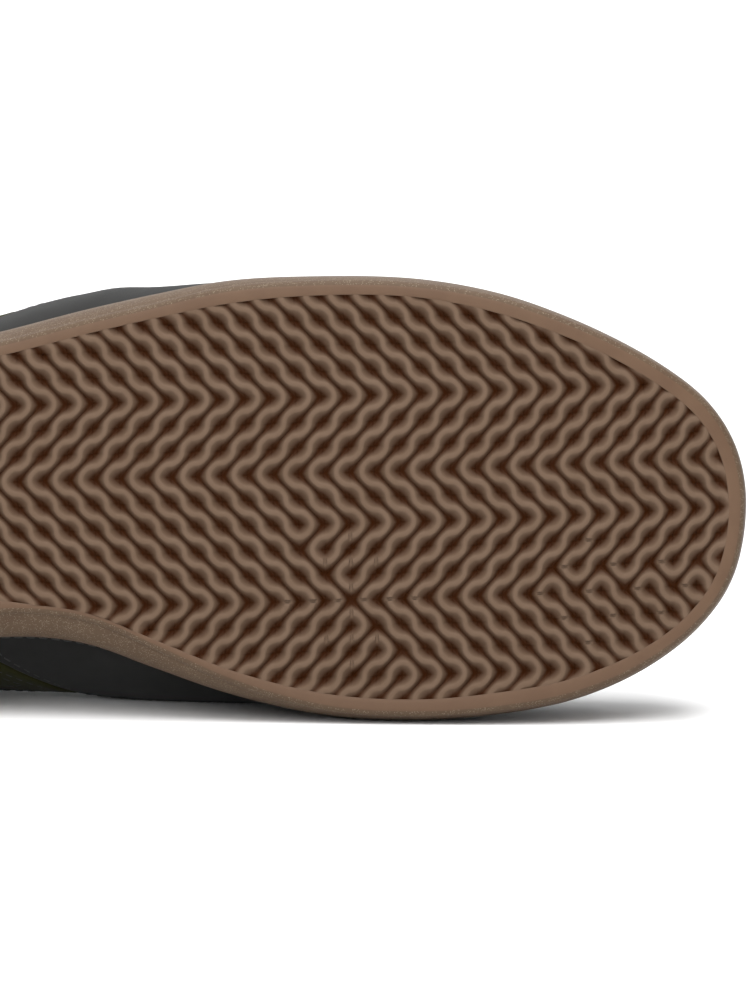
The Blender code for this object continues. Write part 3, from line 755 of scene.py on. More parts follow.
class Effects:
    """The node groups that several materials share."""

    def __init__(self) -> None:
        """Builds every group once."""
        self.grain = self.make_grain()
        self.glint_specks = self.make_glint_specks()
        self.weave = self.make_weave()

    def make_grain(self) -> bpy.types.NodeTree:
        """Fine grain with slow patches.

        Returns:
            A group that puts out a height for bumps and a mask for colour.
        """
        inputs = {"Fine": 2500.0, "Coarse": 120.0}
        tree, nodes, given, result = shared_group("grain", inputs, ("Height", "Patches"))
        place = nodes.add("ShaderNodeTexCoord").outputs["Object"]
        fine, coarse = (
            nodes.add("ShaderNodeTexNoise", Vector=place, Scale=given[scale], Detail=detail, Roughness=rough)
            for scale, detail, rough in (("Fine", 4.0, 0.65), ("Coarse", 3.0, 0.55))
        )
        nodes.put(result["Height"], fine.outputs["Fac"])
        nodes.put(result["Patches"], nodes.remap(coarse.outputs["Fac"], 0.3, 0.7))
        return tree

    def make_glint_specks(self) -> bpy.types.NodeTree:
        """Painted glints: a fine pale speck in some of the cells that fill space, for the sparkle of light on
        the rubber's texture.

        Returns:
            A group that puts out a mask, 1 on a speck.
        """
        tree, nodes, given, result = shared_group("glint_specks", {"Scale": 3400.0, "Share": 0.3}, ("Mask",))
        place = nodes.add("ShaderNodeTexCoord").outputs["Object"]
        cells = nodes.add("ShaderNodeTexVoronoi", Vector=place, Scale=given["Scale"])
        level = nodes.add("ShaderNodeSeparateColor", Color=cells.outputs["Color"]).outputs[0]
        near = nodes.maths("LESS_THAN", cells.outputs["Distance"], 0.42)
        chosen = nodes.maths("LESS_THAN", level, given["Share"])
        nodes.put(result["Mask"], nodes.maths("MULTIPLY", near, chosen))
        return tree

    def make_weave(self) -> bpy.types.NodeTree:
        """A plain weave of threads that cross.

        Returns:
            A group that puts out the threads' height.
        """
        tree, nodes, given, result = shared_group("weave", {"Scale": 900.0}, ("Height",))
        place = nodes.add("ShaderNodeTexCoord").outputs["Object"]
        heights = []
        for direction in ("X", "Z"):
            threads = nodes.add("ShaderNodeTexWave", bands_direction=direction, Vector=place)
            nodes.put(threads.inputs["Scale"], given["Scale"])
            threads.inputs["Distortion"].default_value = 1.2
            threads.inputs["Detail"].default_value = 1.0
            heights.append(threads.outputs["Fac"])
        nodes.put(result["Height"], nodes.maths("MAXIMUM", *heights))
        return tree


@dataclass(frozen=True)
class Finish:
    """The look of one material: colours, gloss and surface.

    `colour` and `patches` lie side by side in slow patches, and `painted_shade` is the painted shade colour
    that the tread's grooves and rib valleys are darkened towards.
    `fine`, `coarse` and `weave` are scales of patterns, `bump` and `depth` the strength and the height of the
    relief in metres, and `glint_specks` is the share of the surface's cells that get a painted glint, a pale
    speck.
    """

    name: str
    colour: tuple[float, float, float]
    patches: tuple[float, float, float]
    roughness: float
    fine: float = 2500.0
    coarse: float = 120.0
    bump: float = 0.1
    depth: float = 0.0001
    sheen: float = 0.0
    coat: float = 0.0
    metallic: float = 0.0
    weave: float = 0.0
    # Painted glints: the share of cells with a pale speck for sparkling light, and the speck colour
    glint_specks: float = 0.0
    glint_colour: tuple[float, float, float] = (0.5, 0.5, 0.48)
    specular: float = 0.5
    # Painted shade: the dark colour that a surface is mixed towards where its grooves lose light
    painted_shade: tuple[float, float, float] | None = None

    # How much of the grain lies on a weave's threads
    FUZZ: ClassVar[float] = 0.3

    def build(self, effects: Effects) -> bpy.types.Material:
        """Makes the material.

        Args:
            effects: The shared node groups.

        Returns:
            The new material.
        """
        made = bpy.data.materials.new(self.name)
        made.use_nodes = True
        nodes = Nodes(made.node_tree)
        shader = made.node_tree.nodes["Principled BSDF"]
        grain = nodes.add("ShaderNodeGroup", node_tree=effects.grain, Fine=self.fine, Coarse=self.coarse)
        colour = nodes.blend(grain.outputs["Patches"], (*self.colour, 1), (*self.patches, 1))
        # Painted glints: pale specks mixed into the colour
        if self.glint_specks:
            glint_specks = nodes.add("ShaderNodeGroup", node_tree=effects.glint_specks, Share=self.glint_specks)
            colour = nodes.blend(glint_specks.outputs["Mask"], colour, (*self.glint_colour, 1))
        # Painted shade: the colour is mixed towards the dark shade colour by the painted shade share that the
        # mesh carries
        if self.painted_shade:
            relief = nodes.add("ShaderNodeAttribute", attribute_name="painted_shade")
            colour = nodes.blend(relief.outputs["Fac"], colour, (*self.painted_shade, 1))
        nodes.put(shader.inputs["Base Color"], colour)
        height = grain.outputs["Height"]
        if self.weave:
            threads = nodes.add("ShaderNodeGroup", node_tree=effects.weave, Scale=self.weave)
            fuzz = nodes.maths("MULTIPLY", height, self.FUZZ)
            height = nodes.maths("ADD", threads.outputs["Height"], fuzz)
        bump = nodes.add("ShaderNodeBump", Strength=self.bump, Distance=self.depth, Height=height)
        nodes.put(shader.inputs["Normal"], bump.outputs["Normal"])
        constants = {
            "Roughness": self.roughness,
            "Metallic": self.metallic,
            "Coat Weight": self.coat,
            "Sheen Weight": self.sheen,
            "Specular IOR Level": self.specular,
        }
        for socket, value in constants.items():
            shader.inputs[socket].default_value = value
        return made


GUM_TREAD = Finish(
    "gum_tread",
    colour=(0.115, 0.0760, 0.0520),
    patches=(0.104, 0.0675, 0.0450),
    roughness=0.6,
    fine=1800.0,
    bump=0.15,
    specular=0.04,
    # Painted shade: the dark colour that grooves and rib valleys are mixed towards, for the light they lose
    painted_shade=(0.027, 0.0072, 0.0010),
)
GUM_BAND = Finish(
    "gum_band",
    colour=(0.104, 0.062, 0.038),
    patches=(0.093, 0.054, 0.033),
    roughness=0.5,
    fine=2200.0,
    bump=0.12,
    specular=0.15,
)
GUM_WALL = Finish(
    "gum_wall",
    colour=(0.086, 0.056, 0.035),
    patches=(0.076, 0.048, 0.030),
    roughness=0.55,
    fine=1600.0,
    bump=0.4,
    depth=0.0002,
    # Painted glints: pale specks for the sparkle of light grazing the rubber's fine texture
    glint_specks=0.27,
    glint_colour=(0.165, 0.131, 0.092),
    specular=0.12,
)
SUEDE = Finish(
    "charcoal_suede",
    colour=(0.0225, 0.0225, 0.022),
    patches=(0.018, 0.018, 0.0176),
    roughness=0.95,
    fine=3200.0,
    bump=0.5,
    sheen=0.06,
    specular=0.12,
)
OLIVE = Finish(
    "olive_suede",
    colour=(0.029, 0.029, 0.009),
    patches=(0.023, 0.0235, 0.0075),
    roughness=0.95,
    fine=3200.0,
    bump=0.5,
    sheen=0.05,
    specular=0.12,
)
LINING = Finish(
    "collar_lining",
    colour=(0.020, 0.020, 0.020),
    patches=(0.016, 0.016, 0.016),
    roughness=0.9,
    bump=0.6,
    depth=0.0002,
    weave=420.0,
)
FOOTBED = Finish(
    "footbed_cloth",
    colour=(0.11, 0.11, 0.105),
    patches=(0.09, 0.09, 0.087),
    roughness=0.9,
    bump=0.5,
    depth=0.0002,
    weave=420.0,
)
LACE = Finish(
    "woven_lace",
    colour=(0.026, 0.026, 0.026),
    patches=(0.021, 0.021, 0.021),
    roughness=0.85,
    bump=0.8,
    depth=0.0003,
    weave=520.0,
)
THREAD = Finish(
    "sewing_thread",
    colour=(0.034, 0.034, 0.033),
    patches=(0.029, 0.029, 0.028),
    roughness=0.8,
)
ENAMEL = Finish(
    "eyelet_enamel",
    colour=(0.030, 0.030, 0.030),
    patches=(0.026, 0.026, 0.026),
    roughness=0.35,
    metallic=0.5,
    coat=0.3,
)
STUDIO = Finish(
    "studio_white",
    colour=(0.84, 0.84, 0.84),
    patches=(0.84, 0.84, 0.84),
    roughness=0.95,
    bump=0.0,
)


# Objects


def laid(points: np.ndarray) -> np.ndarray:
    """Lays upright points down; what would sink into the floor is pressed flat on it.

    Args:
        points: Upright points.

    Returns:
        The points in the row frame.
    """
    turn = np.array(LYING.to_3x3())
    placed = points @ turn.T + np.array(LYING.translation)
    placed[:, 2] = np.maximum(placed[:, 2], 0.0)
    return placed


@dataclass
class Piece:
    """A mesh that is put together from surfaces and then laid down; edges over `sharp` degrees stay crisp."""

    # Points that share a cell of this many to the metre are one
    WELD: ClassVar[float] = 1e6

    name: str
    slot: str
    replaces: tuple[str, ...] = ()
    sharp: float = 50.0
    points: list[np.ndarray] = field(default_factory=list)
    faces: list[np.ndarray] = field(default_factory=list)
    finishes: list[np.ndarray] = field(default_factory=list)
    # The painted shade share of each surface's points
    painted_shades: list[np.ndarray] = field(default_factory=list)

    def add(
        self, points: np.ndarray, faces: np.ndarray, finish: int = 0, painted_shade: np.ndarray | None = None
    ) -> None:
        """Adds a surface.

        Args:
            points: Upright points.
            faces: Triangles.
            finish: Which of the piece's materials it has.
            painted_shade: How much painted shade each point gets, 0 to 1.
        """
        first = sum(len(some) for some in self.points)
        self.points.append(points)
        self.faces.append(faces + first)
        self.finishes.append(np.full(len(faces), finish))
        self.painted_shades.append(np.zeros(len(points)) if painted_shade is None else painted_shade)

    def weld(self) -> tuple[np.ndarray, np.ndarray, np.ndarray, np.ndarray]:
        """Merges the points that meet and drops triangles without area or with the corners of an earlier one.

        Returns:
            Points, triangles, each triangle's finish and the painted shade at each point.
        """
        points = np.vstack(self.points)
        faces = np.vstack(self.faces)
        finishes = np.concatenate(self.finishes)
        _, first, numbered = np.unique(
            np.round(points * self.WELD), axis=0, return_index=True, return_inverse=True
        )
        faces = numbered.reshape(-1)[faces]
        real = (faces[:, 0] != faces[:, 1]) & (faces[:, 1] != faces[:, 2]) & (faces[:, 0] != faces[:, 2])
        faces, finishes = faces[real], finishes[real]
        _, kept = np.unique(np.sort(faces, axis=1), axis=0, return_index=True)
        kept.sort()
        return points[first], faces[kept], finishes[kept], np.concatenate(self.painted_shades)[first]

    def build(self, materials: list[bpy.types.Material]) -> bpy.types.Object:
        """Args:
            materials: The piece's materials.

        Returns:
            The new object.
        """
        points, faces, finishes, painted_shade = self.weld()
        mesh = bpy.data.meshes.new(self.name)
        mesh.vertices.add(len(points))
        mesh.vertices.foreach_set("co", laid(points).ravel())
        mesh.loops.add(3 * len(faces))
        mesh.loops.foreach_set("vertex_index", faces.ravel().astype(np.int32))
        mesh.polygons.add(len(faces))
        mesh.polygons.foreach_set("loop_start", np.arange(0, 3 * len(faces), 3, dtype=np.int32))
        mesh.polygons.foreach_set("material_index", finishes.astype(np.int32))
        # Painted shade share of each point, which the tread's material reads
        if painted_shade.any():
            layer = mesh.attributes.new("painted_shade", "FLOAT", "POINT")
            layer.data.foreach_set("value", painted_shade.astype(np.float32))
        for material in materials:
            mesh.materials.append(material)
        mesh.update(calc_edges=True)
        mesh.validate()
        mesh.shade_smooth()
        mesh.set_sharp_from_angle(angle=math.radians(self.sharp))
        obj = bpy.data.objects.new(self.name, mesh)
        bpy.context.scene.collection.objects.link(obj)
        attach(obj, "root")
        if self.replaces:
            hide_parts(*self.replaces)
        LOG.info("%s: %d triangles", self.name, len(faces))
        return obj


# Sole


@dataclass
class Tread:
    """The wavy ribs: square tiles with two quarter-round ribs each, about two opposite corners of the tile.

    A tile turned one way keeps a wave going down the sole, the other way up, so rows of equal tiles make the
    herringbone. The two steps of the lattice carry its slight lean, and a slow bend follows the sole's curve.
    Columns are counted towards the toe and rows towards the medial side, both from the star's middle.
    """

    last: Last
    origin: tuple[float, float] = (0.198976, 0.025093)
    column_step: tuple[float, float] = (0.0061791, -0.00021171)
    row_step: tuple[float, float] = (0.00012309, 0.0062258)
    columns: tuple[int, int] = (-34, 17)
    rows: tuple[int, int] = (-12, 6)
    star_rows: tuple[int, int] = (-3, 3)
    slit_rows: tuple[int, int] = (-2, 1)
    slit_columns: tuple[tuple[int, ...], ...] = ((7, 9, 11, 13), (8, 10, 12), (9,))
    backward_rows: tuple[int, ...] = (-12, -11, -10, -9, -5, -4)
    odd_tiles: tuple[int, ...] = (8, 10, 12, 14)
    bend_middle: float = 0.205
    bend_reach: tuple[float, float] = (0.0889, 0.0395)
    bend_end: float = -1.15
    bend_along: tuple[float, ...] = (0.35, 1.20, -1.33, -0.82, 0.11, -0.39, 0.07, -0.06, -0.97)
    bend_aside: tuple[float, ...] = (-0.08, 0.28, -0.76, -0.55, 0.43, 0.02, 0.23, -0.07, 0.11)
    bow: float = 0.022
    rib: float = 0.00055
    crown: float = 0.00010
    crown_power: float = 2.5
    slope_in: float = 0.0027
    slope_out: float = 0.0023
    steepness: float = 1.4
    depth: float = 0.0024
    valley: float = 0.0008
    valley_power: float = 3.0
    # Painted shade added along the lowest line between two ribs, where walls block the light
    valley_shade: float = 0.32
    edge_rise: float = 0.5
    edge_reach: float = 0.0030
    slit: float = 0.00030
    slit_depth: float = 0.0008
    slit_slope: float = 1.6
    slit_start: float = 0.1
    across_rib: tuple[float, ...] = (
        0.0, 0.00025, 0.00045, 0.00065, 0.00090, 0.00120, 0.00155, 0.00190, 0.00225
    )
    crest_step: int = 2
    turns: int = 8
    tile_reach: float = 0.0050
    border_reach: float = 0.0055

    def backward(self, column: int, row: int) -> bool:
        """Whether a tile's ribs are about its top right and bottom left corners.

        Args:
            column: The tile's column.
            row: The tile's row.

        Returns:
            True for those, False where the ribs are about the other two corners.
        """
        first, end = self.star_rows
        if not first <= row < end:
            return row in self.backward_rows
        if row < 0:
            return column <= row or (row == -1 and column in self.odd_tiles)
        return column >= row

    def slit_lines(self) -> set[tuple[str, int, int]]:
        """The tile edges at which a thin slit cuts the rib.

        Returns:
            Upright edges by line and row, level ones by line and column.
        """
        upright = {("upright", 0, row) for row in range(*self.star_rows)}
        upright |= {("upright", line, row) for line in (-1, 1) for row in self.slit_rows}
        level = {("level", 0, column) for column in range(*self.star_rows)}
        for away, columns in enumerate(self.slit_columns):
            level |= {("level", line, column) for line in (-away, away) for column in columns}
        return upright | level

    def bent(self, plan: np.ndarray) -> np.ndarray:
        """Moves places of the even lattice with the sole's bend, which stays the same behind the waist.

        Args:
            plan: Plane places.

        Returns:
            The moved places; the bend's two rows of terms are in millimetres.
        """
        u = np.maximum((plan[:, 0] - self.bend_middle) / self.bend_reach[0], self.bend_end)
        v = plan[:, 1] / self.bend_reach[1]
        terms = np.column_stack([np.ones_like(u), u, u * u, u**3, v, v * v, u * v, u * u * v, u * v * v])
        return plan + terms @ np.column_stack([self.bend_along, self.bend_aside]) * MILLIMETRE

    def fall(self, beyond: np.ndarray) -> np.ndarray:
        """The share of the depth reached, by the signed distance from the rib's middle line."""
        past = (np.abs(beyond) - self.rib) / np.where(beyond < 0, self.slope_in, self.slope_out)
        return 1 - (1 - np.clip(past, 0, 1)) ** self.steepness

    def height(self, beyond: np.ndarray) -> np.ndarray:
        """How far the surface lies below the crest, by the signed distance from the rib's middle line."""
        crest = self.crown * np.clip(np.abs(beyond) / self.rib, 0, 1) ** self.crown_power
        return crest + (self.depth - self.crown) * self.fall(beyond)

    def shade(self, beyond: np.ndarray, valley: np.ndarray) -> np.ndarray:
        """The painted shade on the rubber: darker down the slopes, and more along the lowest line between two
        ribs.

        Args:
            beyond: Signed distance from the rib's middle line.
            valley: Distance from the lowest line.

        Returns:
            A share, 0 to 1.
        """
        line = np.exp(-((np.abs(valley) / self.valley) ** self.valley_power))
        return np.clip(self.fall(beyond) + self.valley_shade * line, 0, 1)

    def fan(self, slit_start: bool, slit_end: bool) -> tuple[np.ndarray, np.ndarray, np.ndarray]:
        """One rib's share of a tile of unit side, about the corner at the origin.

        Args:
            slit_start: Whether a slit cuts the rib on the first edge.
            slit_end: Whether a slit cuts the rib on the second edge.

        Returns:
            Plane places as a grid, depth and painted shade at each, and the triangles.
        """
        pitch = math.hypot(*self.column_step)
        middle_share = 0.5
        half = np.array(self.across_rib) / pitch
        away = np.concatenate([[-middle_share], -half[:0:-1], half, [middle_share]])
        edge = half[self.crest_step]

        def laid_out(theta: np.ndarray) -> np.ndarray:
            """Distances from the corner, for rows of the fan.

            Args:
                theta: The angle of each place.

            Returns:
                The middle line's distance, then the place's own.
            """
            middle = middle_share - self.bow * np.sin(2 * theta) ** 2
            room = 1 / (np.cos(theta) + np.sin(theta)) - middle
            outer = edge + (away - edge) * (room - edge) / (middle_share - edge)
            inner = -edge + (away + edge) * (middle - edge) / (middle_share - edge)
            moved = np.where(away > edge, outer, np.where(away < -edge, inner, away))
            return np.stack([middle, middle + moved])

        theta = np.linspace(0, math.pi / 2, self.turns + 1)[:, None] * np.ones_like(away)
        for present, first in ((slit_start, True), (slit_end, False)):
            if not present:
                continue
            rows = []
            far_out = np.maximum(middle_share + away, 2 * self.slit_start)
            for reach in (self.slit * self.slit_slope, self.slit):
                turn = np.arcsin(np.clip(reach / pitch / far_out, 0, 1))
                rows.append(turn if first else math.pi / 2 - turn)
            at = 1 if first else len(theta) - 1
            theta = np.insert(theta, at, rows[::-1] if first else rows, axis=0)
        middle, sizes = laid_out(theta)
        from_rib = (sizes - middle) * pitch
        depth = self.height(from_rib)
        beside = np.stack([sizes * np.sin(theta), sizes * np.cos(theta)]) * pitch
        for present, near in ((slit_start, beside[0]), (slit_end, beside[1])):
            if present:
                sunk = self.slit_depth * (1 - smooth_step(near, self.slit, self.slit * self.slit_slope))
                depth = np.where(sizes > self.slit_start, np.maximum(depth, sunk), depth)
        plan = np.stack([sizes * np.cos(theta), sizes * np.sin(theta)], -1)
        along = plan.sum(axis=-1) / math.sqrt(2)
        valley = pitch * np.where(sizes < middle, along, 1 / math.sqrt(2) - along)
        return plan, np.stack([depth, self.shade(from_rib, valley)], -1), grid_faces(*theta.shape, False)

    def tile_ribs(self, column: int, row: int, slits: set[tuple[str, int, int]]) -> tuple[tuple, tuple]:
        """The two ribs of a tile.

        Args:
            column: The tile's column.
            row: The tile's row.
            slits: The tile edges that have a slit.

        Returns:
            For each rib its corner, its two directions, and whether a slit cuts its first and second edge.
        """
        right, down = np.array(self.column_step), np.array(self.row_step)
        corner = np.array(self.origin) + column * right + row * down
        top, bottom = (("level", line, column) in slits for line in (row, row + 1))
        left, end = (("upright", line, row) in slits for line in (column, column + 1))
        if self.backward(column, row):
            return (corner + right, -right, down, top, end), (corner + down, right, -down, bottom, left)
        return (corner, right, down, top, left), (corner + right + down, -right, -down, bottom, end)

    def outline(self, ring: Ring) -> np.ndarray:
        """The tread's edge in plan view."""
        return ring.plan(ring.band)

    def build(self, ring: Ring) -> tuple[np.ndarray, np.ndarray, np.ndarray]:
        """Lays every tile inside the tread's edge and trims those that cross it.

        Args:
            ring: Places round the shoe.

        Returns:
            Upright points, triangles and the painted shade at each point, 0 to 1.
        """
        outline = self.outline(ring)
        start = np.array(self.origin)
        right, down = np.array(self.column_step), np.array(self.row_step)
        slits = self.slit_lines()
        fans = {(a, b): self.fan(a, b) for a in (False, True) for b in (False, True)}
        points, depths, faces, near = [], [], [], []
        count = 0
        for column, row in product(range(*self.columns), range(*self.rows)):
            middle = start + (column + 0.5) * right + (row + 0.5) * down
            gap = outline_distance(self.bent(middle[None]), outline)[0]
            if gap < -self.tile_reach:
                continue
            for hub, one, two, first, second in self.tile_ribs(column, row, slits):
                plan, depth, order = fans[(first, second)]
                flat = plan.reshape(-1, 2)
                placed = self.bent(hub + flat[:, :1] * one + flat[:, 1:] * two)
                turned = one[0] * two[1] - one[1] * two[0] > 0
                points.append(placed)
                depths.append(depth.reshape(-1, 2))
                faces.append((order[:, ::-1] if turned else order) + count)
                near.append(np.full(len(placed), gap < self.border_reach))
                count += len(placed)
        plan = np.vstack(points)
        depth = np.vstack(depths)
        border = np.concatenate(near)
        gap = np.full(len(plan), FAR_AWAY)
        gap[border] = outline_distance(plan[border], outline)
        values, triangles, gap = cut(np.column_stack([plan, depth]), np.vstack(faces), gap)
        values, triangles, gap = keep_inside(values, triangles, gap)
        shallow = 1 - self.edge_rise * (1 - smooth_step(gap, 0.0, self.edge_reach))
        height = self.last.bottom(values[:, 0]) + values[:, 2] * shallow
        return np.column_stack([values[:, :2], height]), triangles, values[:, 3]


@dataclass
class Outsole:
    """The gum rubber cup sole: tread, smooth band, side wall with its stitch groove, and cup."""

    last: Last
    edge_round: float = 0.0020
    lip_height: float = 0.0042
    stitch_depth: float = 0.0008
    wall_draft: float = 0.0014
    places: int = 260
    body_gap: float = 0.0004
    least_band: float = 0.0005
    band_middle: float = 0.00012
    band_edge: tuple[tuple[float, float], ...] = ((0.0, 0.00006), (0.00003, 0.00002), (0.00008, 0.0))
    edge_turns: int = 6
    band_turn: float = 0.5
    wall_line: tuple[tuple[float, float], ...] = (
        (0.06, 1.0), (0.22, 0.34), (0.46, 0.0), (0.66, 0.0), (0.86, 0.0)
    )
    draft_line: tuple[tuple[float, float], ...] = ((0.06, 0.0), (0.46, 0.0), (0.66, 0.5), (0.86, 1.0))
    wall_span: tuple[float, float] = (0.10, 0.80)
    wall_rings: int = 15
    groove_shape: tuple[tuple[float, float], ...] = (
        (1.6, 0.0), (0.9, 0.25), (0.4, 0.85), (0.0, 1.0), (-0.4, 0.85), (-0.9, 0.25), (-1.6, 0.0)
    )
    groove_end: float = 0.0012
    lip_round: float = 0.0008
    lip_turns: int = 4
    floor_rows: int = 5

    def profile(self, ring: Ring, tread: Tread) -> tuple[list[np.ndarray], list[int]]:
        """The rings of the sole: from the tread's edge over the rim, up the wall, down into the cup.

        Args:
            ring: Places round the shoe.
            tread: The tread, for its depth.

        Returns:
            The rings, and the finish between each ring and the next.
        """
        last = self.last
        flat = np.maximum(ring.band, ring.flare + self.edge_round + self.least_band)

        def above(rise: float) -> Callable[[np.ndarray], np.ndarray]:
            """A height over the underside."""
            return lambda x: last.bottom(x) + rise

        def part_way(share: float) -> Callable[[np.ndarray], np.ndarray]:
            """A share of the side wall's height."""
            return lambda x: last.bottom(x) + share * (last.lip(x) - last.bottom(x))

        def below_lip(drop: float) -> Callable[[np.ndarray], np.ndarray]:
            """A distance under the lip."""
            return lambda x: last.lip(x) - drop

        rings = [ring.at(ring.band, above(tread.depth + self.body_gap))]
        rings += [ring.at(ring.band - out, above(rise)) for out, rise in self.band_edge]
        between = flat * 0.5 + (ring.flare + self.edge_round) * 0.5 - self.band_middle
        rings.append(ring.at(between, last.bottom))
        kinds = [Gum.BAND] * (len(rings) - 1)
        for turn in np.linspace(0, math.pi / 2, self.edge_turns):
            out = self.edge_round * (1 - math.sin(turn))
            rise = self.edge_round * (1 - math.cos(turn))
            rings.append(ring.at(ring.flare + out, above(rise)))
            kinds.append(Gum.BAND if turn < self.band_turn else Gum.WALL)
        wall = smooth_curve(*zip(*self.wall_line))
        draft = smooth_curve(*zip(*self.draft_line))
        for share in np.linspace(*self.wall_span, self.wall_rings):
            rings.append(ring.at(ring.flare * wall(share) + self.wall_draft * draft(share), part_way(share)))
            kinds.append(Gum.WALL)
        groove = [(self.lip_height + step * self.stitch_depth, share) for step, share in self.groove_shape]
        for drop, share in (*groove, (self.groove_end, 0.0)):
            rings.append(ring.at(self.wall_draft + self.stitch_depth * share, below_lip(drop)))
            kinds.append(Gum.WALL)
        for turn in np.linspace(0, math.pi / 2, self.lip_turns):
            inset = self.wall_draft + self.lip_round * (1 - math.cos(turn))
            rings.append(ring.at(inset, below_lip(self.lip_round * (1 - math.sin(turn)))))
            kinds.append(Gum.BAND)
        rings += [ring.at(last.cup_wall, last.lip), ring.at(last.cup_wall, last.floor)]
        kinds += [Gum.BAND] * 2
        return rings, kinds

    def build(self, materials: list[bpy.types.Material]) -> None:
        """Makes the sole's body, and the tread as two pieces of their own.

        Args:
            materials: Tread, band and wall materials.
        """
        ring = Ring(self.last, self.places)
        tread = Tread(self.last)
        rings, kinds = self.profile(ring, tread)
        body = Piece("sole_body", "gum", ("outsole",))
        for kind, one, two in zip(kinds, rings, rings[1:]):
            body.add(np.vstack([one, two]), grid_faces(2, len(ring.ways), True)[:, ::-1], kind)
        rows, faces = filled(ring, rings[-1], self.floor_rows)
        rows[:, 2] = self.last.floor(rows[:, 0])
        body.add(rows, faces, Gum.BAND)
        body.build(materials)
        # The tread's third result is its painted shade share, passed on to the tread pieces
        points, faces, painted_shade = tread.build(ring)
        middle = points[faces].mean(axis=1)[:, 0]
        back = middle < np.median(middle)
        for name, chosen in (("tread_rear", back), ("tread_front", ~back)):
            used, numbered = np.unique(faces[chosen], return_inverse=True)
            piece = Piece(name, "gum", ("outsole",), sharp=75.0)
            piece.add(points[used], numbered.reshape(-1, 3), Gum.TREAD, painted_shade[used])
            piece.build(materials)


# Upper


@dataclass(frozen=True)
class Crease:
    """A soft fold in the upper: its run in plan view, half width and depth."""

    run: tuple[tuple[float, float], ...]
    width: float
    depth: float


CREASES = (
    Crease(((0.214, -0.040), (0.217, -0.015), (0.215, 0.012), (0.211, 0.038)), 0.0042, 0.0011),
    Crease(((0.224, -0.036), (0.227, -0.010), (0.224, 0.020), (0.219, 0.040)), 0.0036, 0.0009),
    Crease(((0.205, -0.046), (0.207, -0.034), (0.209, -0.024)), 0.0034, 0.0008),
    Crease(((0.200, 0.044), (0.204, 0.034), (0.207, 0.025)), 0.0034, 0.0008),
    Crease(((0.130, -0.050), (0.118, -0.046), (0.100, -0.041)), 0.0060, 0.0007),
    Crease(((0.126, 0.046), (0.112, 0.044), (0.096, 0.042)), 0.0060, 0.0007),
)

# A crease's ridges: their height as a share of its depth, and their place in widths from its middle
RIDGE_HEIGHT = 0.35
RIDGE_PLACE = 1.9

# The heights between which the creases rise out of the sole
CREASE_START = (0.034, 0.046)


